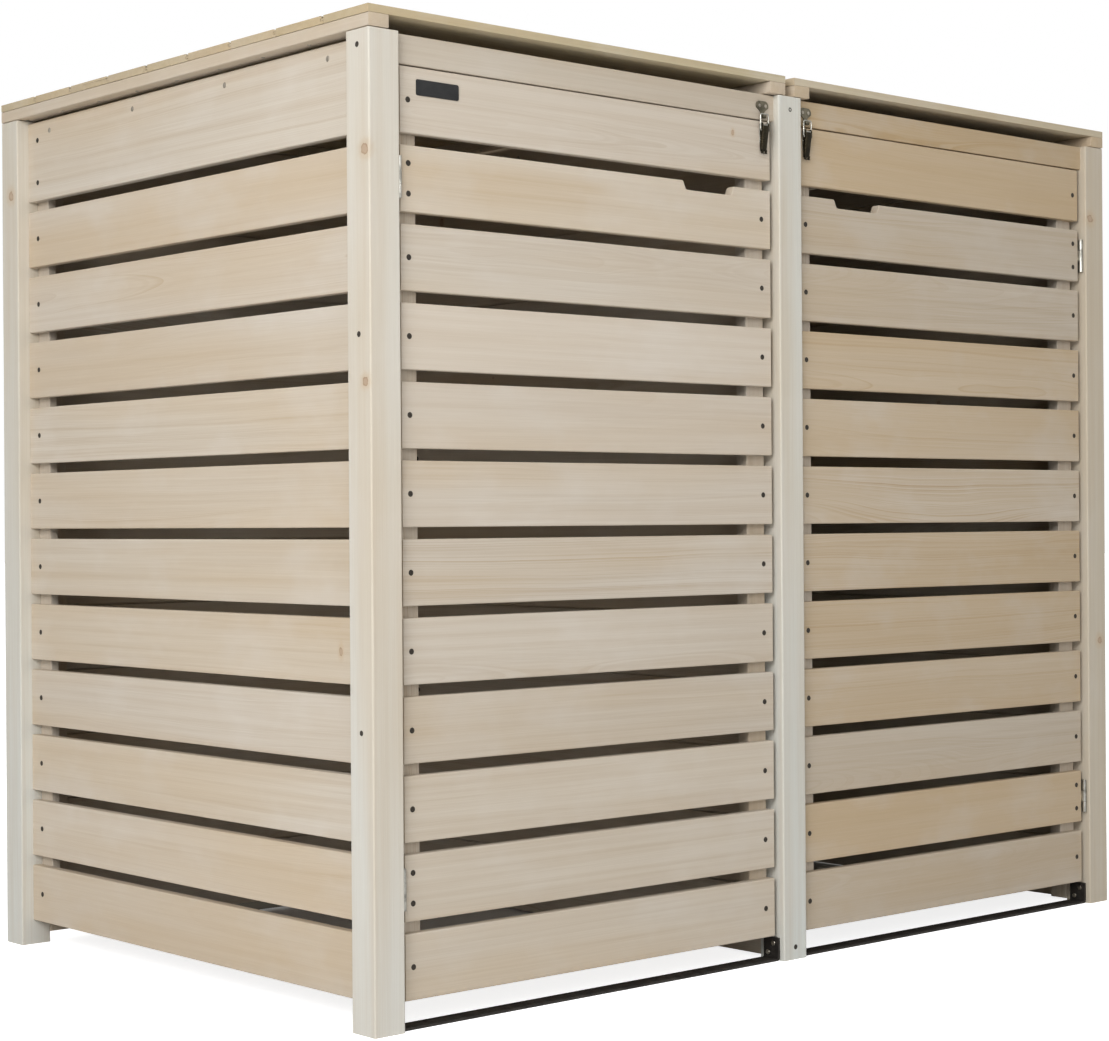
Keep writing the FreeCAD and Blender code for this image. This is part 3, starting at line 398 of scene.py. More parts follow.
def grip_notch(points, low, high):
    """The hand grip in a slat's top edge, as the places it needs and the cut of the section there.

    The edge's height along the slat is the floor, plus the slope beyond each end of the floor, with
    (rise + square root of (rise squared + blend squared)) / 2 for a soft corner between the two.
    """
    clear, level, slope, blend, outset = 4 * MM, 0.2 * MM, 2.4, 3.5 * MM, 3 * MM
    before, after, count = 8 * MM, 7 * MM, 18
    dip = points[(points[:, Z] < high[Z] - clear) & (points[:, Z] > low[Z] + clear)]
    floor = dip[:, Z].min()
    across = dip[dip[:, Z] < floor + level][:, X]
    centre, half_floor = (across.min() + across.max()) / 2, (across.max() - across.min()) / 2
    depth, start, top = high[Z] - floor, centre - low[X], (high[Z] - low[Z]) / 2
    reach = np.linspace(half_floor - before, half_floor + depth / slope + after, count)

    def cut(along, outline):
        rise = (np.abs(along - start) - half_floor - outset) * slope
        edge = top - depth + (rise + np.sqrt(rise ** 2 + blend ** 2)) / 2
        fall = (top - np.minimum(edge, top))[:, None]
        lowered = outline.copy()
        lowered[..., 1] -= np.where(outline[..., 1] > 0, fall, 0)
        return lowered

    return {"stations": start + np.concatenate([-reach[::-1], reach]), "cut": cut}


def plain_boards(node):
    """Plain planed boards, sorted from the lowest up; the second slat from a door's top has the grip."""
    draw, shell = random_for(node), Shell()
    boards = sorted(solids(node), key=lambda points: tuple(points.min(axis=0)[[Z, X, Y]]))
    for number, points in enumerate(boards):
        low, high = span(points)
        size = high - low
        grain = int(np.argmax(size))
        width, height = size[(grain + 1) % 3], size[(grain + 2) % 3]
        gripped = node.endswith("door_slats") and number == len(boards) - 2
        notch = grip_notch(points, low, high) if gripped else None
        knots = chance_knots(draw, size[grain], width / 2, height / 2, SLAT_KNOT_RATE)
        timber(shell, low, high, rectangle(width, height), SLAT_ROUND, draw, knots,
               board_tone_and_shade(draw, node), notch=notch)
    return shell


# tongued and grooved boards of the lids and of the close-boarded walls; a lid's chamfers are flatter
CHAMFER, LID_CHAMFER_RUN = 2.5 * MM, 5 * MM
TONGUE_THICK, TONGUE_LONG, TONGUE_PLAY = 3.2 * MM, 5 * MM, 0.1 * MM


def joined_corners(face, thick, grooved, tongued, both_chamfered):
    """Corners of a board's section about its middle, its cover along the first way."""
    half_face, half = face / 2, thick / 2
    tongue, slack = TONGUE_THICK / 2, TONGUE_PLAY / 2
    run = CHAMFER if both_chamfered else LID_CHAMFER_RUN
    corners = [(-half_face, -half), (half_face, -half)]
    if grooved and both_chamfered:
        corners[:1] = [(-half_face, CHAMFER - half), (CHAMFER - half_face, -half)]
    if tongued:
        tip = half_face + TONGUE_LONG
        corners += [(half_face, -tongue), (tip, -tongue), (tip, tongue), (half_face, tongue)]
    corners += [(half_face, half)]
    if grooved:
        deep = TONGUE_LONG + TONGUE_PLAY - half_face
        corners += [(run - half_face, half), (-half_face, half - CHAMFER), (-half_face, tongue + slack),
                    (deep, tongue + slack), (deep, -tongue - slack), (-half_face, -tongue - slack)]
    else:
        corners += [(-half_face, half)]
    return np.array(corners)


def joined_boards(node, cover):
    """Tongued and grooved boards side by side along the cover axis."""
    draw, shell = random_for(node), Shell()
    boards = sorted(solids(node), key=lambda points: points[:, cover].min())
    for number, points in enumerate(boards):
        low, high = span(points)
        grooved, tongued = number > 0, number < len(boards) - 1
        high[cover] -= TONGUE_LONG if tongued else 0
        size = high - low
        grain = int(np.argmax(size))
        thin = 3 - cover - grain
        corners = joined_corners(size[cover], size[thin], grooved, tongued, cover == Z)
        if thin == (grain + 1) % 3:
            corners = corners[::-1, ::-1]
        knots = chance_knots(draw, size[grain], size[cover] / 2, size[thin] / 2, JOINED_KNOT_RATE)
        timber(shell, low, high, corners, JOINT_ROUND, draw, knots, board_tone_and_shade(draw, node))
    return shell


def make_boards(material, lid_material):
    """All timber but the posts. A lid's boards and hinge rail are yellower than its side rails."""
    for node in body_of:
        kind, of_lid = node.split("_")[-1], "lid" in node
        if kind == "boards":
            shell = joined_boards(node, Y if of_lid else Z)
        elif kind in ("slats", "battens", "stiles", "rail", "rails"):
            shell = plain_boards(node)
        else:
            continue
        yellow = of_lid and not node.endswith("side_rails")
        piece(node, "timber", shell, lid_material if yellow else material)


# Shader helpers

class Graph:
    """Adds shader nodes to a tree; each call returns the output that it makes."""

    def __init__(self, tree):
        self.tree = tree

    def node(self, kind, **settings):
        made = self.tree.nodes.new(kind)
        for key, value in settings.items():
            setattr(made, key, value)
        return made

    def feed(self, socket, value):
        if isinstance(value, bpy.types.NodeSocket):
            self.tree.links.new(value, socket)
        elif value is not None:
            socket.default_value = value

    def feed_all(self, made, values):
        for socket, value in zip(made.inputs, values):
            self.feed(socket, value)
        return made

    def math(self, operation, *values, clamp=False):
        made = self.node("ShaderNodeMath", operation=operation, use_clamp=clamp)
        return self.feed_all(made, values).outputs[0]

    def plus(self, *values, clamp=False):
        return self.math("ADD", *values, clamp=clamp)

    def times(self, *values):
        return self.math("MULTIPLY", *values)

    def vector(self, operation, *values, scale=None):
        made = self.feed_all(self.node("ShaderNodeVectorMath", operation=operation), values)
        if scale is not None:
            self.feed(made.inputs["Scale"], scale)
        return made.outputs["Value" if operation == "LENGTH" else "Vector"]

    def split(self, vector):
        return self.feed_all(self.node("ShaderNodeSeparateXYZ"), [vector]).outputs

    def join(self, *values):
        return self.feed_all(self.node("ShaderNodeCombineXYZ"), values).outputs[0]

    def noise(self, vector, scale, detail, roughness=0.5):
        made = self.node("ShaderNodeTexNoise")
        inputs = {"Vector": vector, "Scale": scale, "Detail": detail, "Roughness": roughness}
        for key, value in inputs.items():
            self.feed(made.inputs[key], value)
        return made.outputs["Fac"]

    def range(self, value, from_low, from_high, to_low=0.0, to_high=1.0, smooth=False):
        made = self.node("ShaderNodeMapRange", interpolation_type="SMOOTHSTEP" if smooth else "LINEAR")
        return self.feed_all(made, (value, from_low, from_high, to_low, to_high)).outputs[0]

    def mix(self, share, first, second):
        made = self.node("ShaderNodeMix", data_type="RGBA")
        for socket, value in zip((made.inputs[0], made.inputs[6], made.inputs[7]), (share, first, second)):
            self.feed(socket, value)
        return made.outputs[2]

    def attribute(self, name):
        return self.node("ShaderNodeAttribute", attribute_name=name, attribute_type="GEOMETRY").outputs

    def group(self, tree, **values):
        made = self.node("ShaderNodeGroup", node_tree=tree)
        for key, value in values.items():
            self.feed(made.inputs[key.replace("_", " ")], value)
        return made.outputs

    def cover(self, surface, look, strength, distance):
        """Gives a surface a group's colour and roughness, and its height as bumps."""
        bump = self.node("ShaderNodeBump")
        self.feed(bump.inputs["Strength"], strength)
        self.feed(bump.inputs["Distance"], distance)
        self.feed(bump.inputs["Height"], look["Height"])
        self.feed(surface["Base Color"], look["Color"])
        self.feed(surface["Roughness"], look["Roughness"])
        self.feed(surface["Normal"], bump.outputs[0])


LOOK = {"Color": "Color", "Roughness": "Float", "Height": "Float"}


def new_group(name, inputs, outputs):
    """An empty node group, whose sockets are given as names and kinds."""
    tree = bpy.data.node_groups.new(name, "ShaderNodeTree")
    for side, sockets in (("INPUT", inputs), ("OUTPUT", outputs)):
        for label, kind in sockets.items():
            tree.interface.new_socket(label, in_out=side, socket_type="NodeSocket" + kind)
    graph = Graph(tree)
    return graph, graph.node("NodeGroupInput").outputs, graph.node("NodeGroupOutput").inputs


def new_material(name, display):
    material = bpy.data.materials.new(name)
    material.use_nodes = True
    material.diffuse_color = display
    return material, Graph(material.node_tree), material.node_tree.nodes["Principled BSDF"].inputs


def colour(red, green, blue):
    """A colour given as it shows on screen, 0 to 255, in the shader's own linear values."""
    def linear(value):
        value /= 255
        return value / 12.92 if value <= 0.04045 else ((value + 0.055) / 1.055) ** 2.4
    return (linear(red), linear(green), linear(blue), 1)


# Wood

# sap and heart wood, what slow noise and fibres add, end grain, and round, in and on the rim of a knot
SAP, HEART = colour(200, 172, 130), colour(206, 192, 175)
WASH, FIBRE, END_WOOD = colour(213, 207, 198), colour(150, 128, 104), colour(178, 156, 124)
KNOT_HALO, KNOT_HEART, KNOT_RIM = colour(190, 164, 130), colour(184, 162, 138), colour(152, 126, 102)


def branch_group():
    """A branch that runs straight out from the pith: how far a point is from it, in branch radii.

    Its knot is longer along the grain and has a ragged edge, and there is none behind the pith.
    Reach is that distance, and Swell is how far the rings bend round it.
    """
    squeeze, ragged_edge, nowhere, swell, swell_fall = 0.8, 0.25, 50.0, 1.3, -0.22
    graph, given, out = new_group("Branch", {"Log": "Vector", "Branch": "Vector", "Ragged": "Float"},
                                  {"Reach": "Float", "Swell": "Float"})
    along, side_a, side_b = graph.split(given["Log"])
    where, angle, thick = graph.split(given["Branch"])
    cosine, sine = graph.math("COSINE", angle), graph.math("SINE", angle)
    sideways = graph.math("SUBTRACT", graph.times(side_b, cosine), graph.times(side_a, sine))
    outwards = graph.plus(graph.times(side_a, cosine), graph.times(side_b, sine))
    step = graph.times(graph.math("SUBTRACT", along, where), squeeze)
    distance = graph.vector("LENGTH", graph.join(step, sideways, 0.0))
    reach = graph.plus(graph.math("DIVIDE", distance, thick),
                       graph.range(given["Ragged"], 0.3, 0.7, -ragged_edge, ragged_edge))
    reach = graph.plus(reach, graph.times(graph.math("LESS_THAN", outwards, 0.0), nowhere))
    graph.feed(out["Reach"], reach)
    fall = graph.math("EXPONENT", graph.times(graph.times(reach, reach), swell_fall))
    graph.feed(out["Swell"], graph.times(fall, graph.times(thick, swell)))
    return graph.tree


def spruce_group(branch):
    """Planed spruce from a place in its log: rings, fibres, slow drifts of colour, knots and end grain.

    A ring's age is the distance from the pith, bent by slow noise and round each knot, over the ring
    width. Late wood darkens the last part of each year.
    """
    slow_bend, fine_bend, taper = 11 * MM, 1.3 * MM, 0.003
    ragged_scale, uneven_scale, uneven_years, late_power = 190.0, 90.0, 0.7, 3.0
    end_share, knot_gloss, end_rough, streak_height = 0.4, 0.15, 0.15, 0.5
    graph, given, out = new_group(
        "Spruce", {"Log": "Vector", "Knot 1": "Vector", "Knot 2": "Vector", "Tone": "Vector",
                   "End Grain": "Float", "Early Wood": "Color", "Late Wood": "Color",
                   "Ring Width": "Float", "Ring Strength": "Float"}, LOOK)
    log = given["Log"]

    def log_noise(along_scale, across_scale, detail, roughness=0.5):
        """Noise with a scale of its own along the grain and one across it."""
        scaled = graph.vector("MULTIPLY", log, (along_scale, across_scale, across_scale))
        return graph.noise(scaled, 1.0, detail, roughness)

    along, side_a, side_b = graph.split(log)
    light, warm, strength = graph.split(given["Tone"])
    ragged = graph.noise(log, ragged_scale, 1.0)
    first = graph.group(branch, Log=log, Branch=given["Knot 1"], Ragged=ragged)
    second = graph.group(branch, Log=log, Branch=given["Knot 2"], Ragged=ragged)

    # rings
    slow, fine = log_noise(1.3, 7.0, 1.0), log_noise(6.0, 22.0, 1.0)
    radius = graph.vector("LENGTH", graph.join(side_a, side_b, 0.0))
    for bend in (graph.range(slow, 0.2, 0.8, -slow_bend, slow_bend),
                 graph.range(fine, 0.2, 0.8, -fine_bend, fine_bend),
                 graph.times(along, taper), first["Swell"], second["Swell"]):
        radius = graph.plus(radius, bend)
    uneven = graph.node("ShaderNodeTexNoise", noise_dimensions="1D")
    graph.feed(uneven.inputs["W"], graph.times(radius, uneven_scale))
    years = graph.plus(graph.math("DIVIDE", radius, given["Ring Width"]),
                       graph.range(uneven.outputs["Fac"], 0.2, 0.8, -uneven_years, uneven_years))
    season = graph.math("FRACT", years)
    year = graph.node("ShaderNodeTexWhiteNoise", noise_dimensions="1D")
    graph.feed(year.inputs["W"], graph.math("FLOOR", years))
    late = graph.math("POWER", season, late_power)
    for share in (graph.range(season, 1.0, 0.9, smooth=True),
                  graph.range(year.outputs["Value"], 0.0, 1.0, 0.2, 1.0),
                  graph.range(slow, 0.35, 0.65, 0.3, 1.0), strength, given["Ring Strength"]):
        late = graph.times(late, share)
    shade = graph.mix(late, given["Early Wood"], given["Late Wood"])

    # tints: each comes in as its mask goes from a start to an end, up to its share
    fibres, streaks = log_noise(9.0, 900.0, 2.0, 0.6), log_noise(1.6, 120.0, 2.0, 0.55)
    drift, wash = log_noise(1.1, 9.0, 2.0), log_noise(7.0, 12.0, 3.0, 0.6)
    for mask, start, end, share, tint in (
            (streaks, 0.4, 0.8, 0.35, given["Late Wood"]), (warm, 0.0, -1.0, 0.5, HEART),
            (warm, 0.0, 2.0, 1.0, SAP), (drift, 0.45, 0.75, 0.4, SAP),
            (wash, 0.5, 0.8, 0.4, WASH), (fibres, 0.3, 0.7, 0.1, FIBRE)):
        shade = graph.mix(graph.range(mask, start, end, 0.0, share), shade, tint)
    # the tone's lightness includes the painted shade given to some boards and posts
    value = graph.times(graph.plus(light, 1.0), graph.range(drift, 0.2, 0.8, 1.04, 0.96))
    shade = graph.vector("SCALE", shade, scale=value)

    # knots and end grain
    near = graph.math("MINIMUM", first["Reach"], second["Reach"])
    halo = graph.range(near, 3.0, 1.0, 0.0, 0.4, smooth=True)
    heart = graph.range(near, 1.12, 0.9, smooth=True)
    rim = graph.times(heart, graph.range(near, 0.55, 0.95, 0.2, 0.75, smooth=True))
    cut_end = given["End Grain"]
    for share, tint in ((halo, KNOT_HALO), (heart, KNOT_HEART), (rim, KNOT_RIM),
                        (graph.times(cut_end, end_share), END_WOOD)):
        shade = graph.mix(share, shade, tint)
    graph.feed(out["Color"], shade)
    rough = graph.plus(graph.range(fibres, 0.3, 0.7, 0.56, 0.74), graph.times(heart, -knot_gloss))
    graph.feed(out["Roughness"], graph.plus(rough, graph.times(cut_end, end_rough), clamp=True))
    graph.feed(out["Height"], graph.plus(fibres, graph.times(streaks, streak_height)))
    return graph.tree


def spruce_material(name, tree, early, late, ring_width, ring_strength):
    early, late = colour(*early), colour(*late)
    material, graph, surface = new_material(name, early)
    made = {label: graph.attribute(label.lower())["Vector"] for label in ("Log", "Knot_1", "Knot_2", "Tone")}
    wood = graph.group(tree, **made, End_Grain=graph.attribute("end_grain")["Fac"], Early_Wood=early,
                       Late_Wood=late, Ring_Width=ring_width, Ring_Strength=ring_strength)
    graph.cover(surface, wood, 0.35, 0.4 * MM)
    surface["Specular IOR Level"].default_value = 0.3
    return material


# Metals

def worn_metal_group():
    """Plated, rolled or coated steel: cloudy patches of two tints, and fine scratches."""
    scratch_scales, patch_rough, scratch_height = (1500.0, 260.0, 900.0), 0.08, 0.3
    graph, given, out = new_group("Worn metal", {"Bright": "Color", "Dull": "Color", "Patch Size": "Float",
                                                 "Rough Low": "Float", "Rough High": "Float"}, LOOK)
    place = graph.node("ShaderNodeTexCoord").outputs["Object"]
    patches = graph.noise(place, given["Patch Size"], 4.0, 0.6)
    scratches = graph.noise(graph.vector("MULTIPLY", place, scratch_scales), 1.0, 2.0)
    share = graph.range(patches, 0.35, 0.7, smooth=True)
    graph.feed(out["Color"], graph.mix(share, given["Bright"], given["Dull"]))
    rough = graph.range(scratches, 0.3, 0.7, given["Rough Low"], given["Rough High"])
    graph.feed(out["Roughness"], graph.plus(rough, graph.times(share, patch_rough)))
    graph.feed(out["Height"], graph.plus(graph.times(scratches, scratch_height), patches))
    return graph.tree


def metal_material(name, tree, bright, dull, metallic, rough_low, rough_high, patch_size=90.0):
    bright, dull = colour(*bright), colour(*dull)
    material, graph, surface = new_material(name, bright)
    metal = graph.group(tree, Bright=bright, Dull=dull, Patch_Size=patch_size, Rough_Low=rough_low,
                        Rough_High=rough_high)
    graph.cover(surface, metal, 0.3, 0.1 * MM)
    surface["Metallic"].default_value = metallic
    return material


# Screws and pins

def screw_shape(head, shank, length, proud, sides=24):
    """A screw whose head faces +Z: rings of points from the recess out over the head and down.

    The recess has six lobes: its reach is the middle one, times 1 plus a share of the cosine of six
    times the angle.
    """
    angle = np.arange(sides) / sides * 2 * math.pi
    lobe_reach, lobe_share, shallow, least = 0.4, 0.2, 0.05 * MM, 0.02 * MM
    lobes = lobe_reach * head * (1 + lobe_share * np.cos(6 * angle))
    floor = min(proud - least, shallow)
    # distances from the axis and heights: the recess, its wall, the head's face and rim, the shank, the tip
    profile = [(0.2 * head, floor), (lobes * 0.9, floor), (lobes, proud - 0.01 * MM),
               (lobes + 0.08 * head, proud), (0.84 * head, proud), (0.96 * head, proud - 0.12 * MM),
               (head, proud - 0.32 * MM), (head * 0.98, min(0, proud - 0.5 * MM) - 0.05 * MM),
               (shank, shank - head), (shank * 0.95, -length * 0.8), (shank * 0.2, -length)]
    reach = np.stack([distance * np.ones(sides) for distance, height in profile])
    height = np.repeat([height for distance, height in profile], sides).reshape(reach.shape)
    return np.stack([reach * np.cos(angle), reach * np.sin(angle), height], axis=-1)


def make_screws(node, material):
    """Each CAD screw's head, axis and radii, read from its solid, carry a detailed screw.

    Its head stands proud of the timber where the store's own box leaves room for that.
    """
    proud, rim_share, head_length = 0.35 * MM, 0.9, 0.6
    draw, shell = random_for(node), Shell()
    for points in solids(node):
        low, high = span(points)
        middle, size = (low + high) / 2, high - low
        axis = int(np.argmax(size))
        second, third = (axis + 1) % 3, (axis + 2) % 3
        reach = np.hypot(points[:, second] - middle[second], points[:, third] - middle[third])
        head = reach.max()
        sign = 1 if points[reach > head * rim_share, axis].mean() > middle[axis] else -1
        face = high[axis] if sign > 0 else low[axis]
        shank = reach[np.abs(points[:, axis] - face) > head_length * size[axis]].max()
        room = abs(cad_box[1 if sign > 0 else 0][axis] - face)
        shape = screw_shape(head, shank, size[axis], min(proud, room))
        turn = draw.uniform(0, math.pi)
        cosine, sine = math.cos(turn), math.sin(turn)
        placed = np.empty_like(shape)
        placed[..., axis] = face + sign * shape[..., Z]
        placed[..., second] = middle[second] + shape[..., X] * cosine - shape[..., Y] * sine
        placed[..., third] = middle[third] + sign * (shape[..., X] * sine + shape[..., Y] * cosine)
        shell.tube(placed, flip=True)
    piece(node, "heads", shell, material, sharp=40)


def make_pins(node, material):
    """Round pins whose ends are domes: a quarter circle, flattened to half its radius."""
    flat_end, shell = 0.15, Shell()
    for points in solids(node):
        low, high = span(points)
        size = high - low
        axis = int(np.argmax(size))
        radius, half = size[(axis + 1) % 3] / 2, size[axis] / 2
        turn = np.linspace(flat_end, math.pi / 2, 6)
        dome = np.stack([radius * np.sin(turn), half - radius / 2 * (1 - np.cos(turn))], axis=-1)
        profile = np.concatenate([dome * (1, -1), dome[::-1]])
        turned(shell, profile, (low + high) / 2, axis)
    piece(node, "round", shell, material)


# Toggle latches

def make_latch_base(word, material):
    """A plate with round corners, and two round ears that carry the lever's pin."""
    low, high = box(f"{word}_latch_base")
    pin = sum(box(f"{word}_latch_pin")) / 2
    thick, ear_half, radius, root = 1.2 * MM, 3.5 * MM, 1.95 * MM, 0.4 * MM
    shell = Shell()
    upright_plate(shell, low, high, thick)
    start = high[Y] - thick + root
    reach = start - (pin[Y] - radius)
    ear = rectangle(reach, 2 * radius, across=reach / 2)
    for side in (pin[X] + ear_half, pin[X] - ear_half - thick):
        slab(shell, ear, radius * NEARLY, (side, start, pin[Z]), (0, -1, 0), (0, 0, -1), thick)
    piece(f"{word}_latch_base", "plate", shell, material)


def channel(width, depth, wall, bend, steps=5):
    """Outline of a pressed channel, open towards the second way's positive side, for arrays of widths
    and depths: its round outer corners and parallel inner ones, counter-clockwise."""
    turn = np.linspace(0, math.pi / 2, steps)
    half = width[:, None] / 2

    def corner(reach, floor, radius):
        across = reach - radius + radius * np.sin(turn)
        return across, floor + radius * (1 - np.cos(turn)) + 0 * across

    outer_x, outer_y = corner(half, 0.0, bend)
    inner_x, inner_y = corner(half - wall, wall, bend - wall)
    tip = depth[:, None]
    across = np.concatenate([-outer_x[:, ::-1], outer_x, half, half - wall, inner_x[:, ::-1], -inner_x,
                             wall - half, -half], axis=1)
    up = np.concatenate([outer_y[:, ::-1], outer_y, tip, tip, inner_y[:, ::-1], inner_y, tip, tip], axis=1)
    return np.stack([across, up], axis=-1)


def make_lever(word, material):
    """A pressed channel whose face leans from the pin to a shallow tip.

    Round cheeks carry its pin, and the tip is split into two tongues that curl outwards.
    """
    low, high = box(f"{word}_latch_lever")
    pin = sum(box(f"{word}_latch_pin")) / 2
    wall, bend, rim, tip_depth, head = 1.0 * MM, 1.9 * MM, 0.3 * MM, 2.4 * MM, high[Z] - pin[Z]
    below_pin, above_foot, full, narrow = 1.5 * MM, 3.5 * MM, 0.99, 0.86
    tongue, gap, curl, root, end_out, end_up = 4.0 * MM, 2.4 * MM, 1.2 * MM, 6 * MM, 1.5 * MM, 0.2 * MM
    back, front, foot = high[Y], low[Y], low[Z]

    def face_at(height):
        """The face leans evenly: its depth at the pin less the share of the way down."""
        return back - tip_depth + (front - back + tip_depth) * (height - foot) / (pin[Z] - foot)

    shell = Shell()
    height = np.linspace(pin[Z] - below_pin, foot + above_foot, 14)
    face = face_at(height)
    width = (high[X] - low[X]) * np.linspace(full, narrow, len(height))
    path = np.stack([np.full(len(height), pin[X]), face, height], axis=-1)
    carried(shell, path, (-1, 0, 0), channel(width, back - face, wall, bend))
    cheek = rectangle(2 * head, 4 * head, up=head)
    for side in (low[X], high[X] - wall):
        slab(shell, cheek, head * NEARLY, (side, pin[Y], pin[Z]), (0, -1, 0), (0, 0, -1), wall)
    outline = rounded_outline(rectangle(tongue, wall), rim)[0]
    low_line = foot + wall / 2
    start, end = face_at(foot + root) + wall / 2, face_at(low_line) + wall / 2
    for sign in (-1, 1):
        across = pin[X] + sign * (gap + tongue) / 2
        bent = rounded_path([(across, start, foot + root), (across, end, low_line),
                             (across, end - end_out, low_line + end_up)], curl)
        carried(shell, bent, (-1, 0, 0), outline)
    piece(f"{word}_latch_lever", "pressed", shell, material)


def make_bail(word, material):
    """Round wire bent to a bail: two stubs in the lever, two legs and a cross bar, on arcs."""
    low, high = box(f"{word}_latch_bail")
    radius, bend, stub = 1 * MM, 2.2 * MM, 2.4 * MM
    left, right = low[X] + radius, high[X] - radius
    foot, top = low[Z] + radius, high[Z] - radius
    out = (low[Y] + high[Y]) / 2
    corners = [(left + stub, out, foot), (left, out, foot), (left, out, top), (right, out, top),
               (right, out, foot), (right - stub, out, foot)]
    shell = Shell()
    carried(shell, rounded_path(corners, bend), (0, 1, 0), ring(radius, 12))
    piece(f"{word}_latch_bail", "wire", shell, material)


def make_keepers(material):
    """A plate with two screw eyes that narrows to a neck, and turns outwards and up into a hook.

    Down the plate, half its width is the eyes' offset plus their radius times the sine of the turn,
    then falls to the neck's with a power of the way down the throat.
    """
    neck, thick, rim, eye, eye_end = 3.5 * MM, 1.5 * MM, 0.3 * MM, 6.5 * MM, math.radians(118)
    throat, power, bend, hook_high = 9.5 * MM, 1.6, 1.5 * MM, 3.2 * MM
    shell = Shell()
    for points in solids("latch_keepers"):
        low, high = span(points)
        middle, back, out = (low[X] + high[X]) / 2, high[Y] - thick / 2, low[Y] + thick / 2
        offset, centre, shelf = (high[X] - low[X]) / 2 - eye, high[Z] - eye, low[Z] + thick / 2
        turn = np.linspace(0, eye_end, 14)
        height, half = centre + eye * np.cos(turn), offset + eye * np.sin(turn)
        fall = np.linspace(0, 1, 9)[1:]
        height = np.append(height, height[-1] + (centre - throat - height[-1]) * fall)
        half = np.append(half, neck + (half[-1] - neck) * (1 - fall) ** power)
        plate = np.stack([np.full(len(height), middle), np.full(len(height), back), height], axis=-1)
        hook = rounded_path([(middle, back, height[-1]), (middle, back, shelf), (middle, out, shelf),
                             (middle, out, shelf + hook_high)], bend)[1:]
        half = np.append(half, np.full(len(hook), neck))
        places = rounded_outline(rectangle(2, thick), rim)[0]
        section = np.tile(places, (len(half), 1, 1))
        section[..., 0] = np.sign(places[:, 0]) * (half[:, None] - (1 - np.abs(places[:, 0])))
        carried(shell, np.concatenate([plate, hook]), (1, 0, 0), section)
    piece("latch_keepers", "pressed", shell, material)


# Threshold bars and the blank plate

def make_threshold_bars(material):
    """Flat bar carried along a line with a bend at each end, its long edges slightly rounded.

    The upright and the first bend take eight points, and the flat gets seven more of its own.
    """
    thick, bend, rim, before_flat = 3 * MM, 3.5 * MM, 0.5 * MM, 8
    shell = Shell()
    for points in solids("threshold_bars"):
        low, high = span(points)
        width, middle = high[Y] - low[Y], (low[Y] + high[Y]) / 2
        left, right, floor = low[X] + thick / 2, high[X] - thick / 2, low[Z] + thick / 2
        path = rounded_path([(left, middle, high[Z]), (left, middle, floor), (right, middle, floor),
                             (right, middle, high[Z])], bend)
        start, end = path[before_flat - 1], path[before_flat]
        flat = start + np.linspace(0, 1, 9)[1:-1, None] * (end - start)
        path = np.concatenate([path[:before_flat], flat, path[before_flat:]])
        carried(shell, path, (0, 1, 0), rounded_outline(rectangle(width, thick), rim)[0])
    piece("threshold_bars", "folded", shell, material)


def make_blank_plate(material):
    """A thin plate with round corners and rims, left blank."""
    low, high = box("blank_plate")
    shell = Shell()
    upright_plate(shell, low, high, high[Y] - low[Y])
    piece("blank_plate", "pressed", shell, material)


# The photograph's camera, light and ground

def aim(thing, place, right, up, back):
    """Puts a camera or a lamp at a place, with its own three axes along the given ways."""
    turn = Matrix(np.column_stack([right, up, back]).tolist())
    thing.matrix_world = Matrix.Translation(place) @ turn.to_4x4()


def make_camera():
    """A level camera, fitted to the corners of the store in the photograph."""
    image_width, focal_pixels = 1109, 2345.8
    place = (-2.3568, -2.6129, 0.5989)
    yaw, roll = 0.7247, -0.0068
    forward = np.array([math.sin(yaw), math.cos(yaw), 0])
    level, upright = np.array([math.cos(yaw), -math.sin(yaw), 0]), np.array([0, 0, 1])
    right = math.cos(roll) * level + math.sin(roll) * upright
    up = -math.sin(roll) * level + math.cos(roll) * upright
    data = bpy.data.cameras.new("camera")
    data.sensor_width = 36
    data.lens = focal_pixels / image_width * data.sensor_width
    camera = add_object("camera", data)
    aim(camera, place, right, up, -forward)
    bpy.context.scene.camera = camera


def make_lamp(name, place, target, size, power, spread=180):
    data = bpy.data.lights.new(name, "AREA")
    data.shape = "RECTANGLE"
    data.size, data.size_y = size
    data.energy = power
    data.spread = math.radians(spread)
    lamp = add_object(name, data)
    lamp.visible_camera = False
    away = np.array(place, float) - np.array(target, float)
    away /= np.linalg.norm(away)
    side = np.cross([0, 0, 1], away)
    side /= np.linalg.norm(side)
    aim(lamp, place, side, np.cross(away, side), away)


def make_surround():
    """White to the camera and in reflections, and a weaker even light on the store."""
    world = bpy.data.worlds.new("surround")
    bpy.context.scene.world = world
    world.use_nodes = True
    graph, background = Graph(world.node_tree), world.node_tree.nodes["Background"]
    path = graph.node("ShaderNodeLightPath").outputs
    seen = graph.math("MAXIMUM", path["Is Camera Ray"],
                      graph.math("MAXIMUM", path["Is Glossy Ray"], path["Is Transmission Ray"]))
    graph.feed(background.inputs["Strength"], graph.range(seen, 0.0, 1.0, SURROUND_LIGHT, 1.0))
    background.inputs["Color"].default_value = (1, 1, 1, 1)


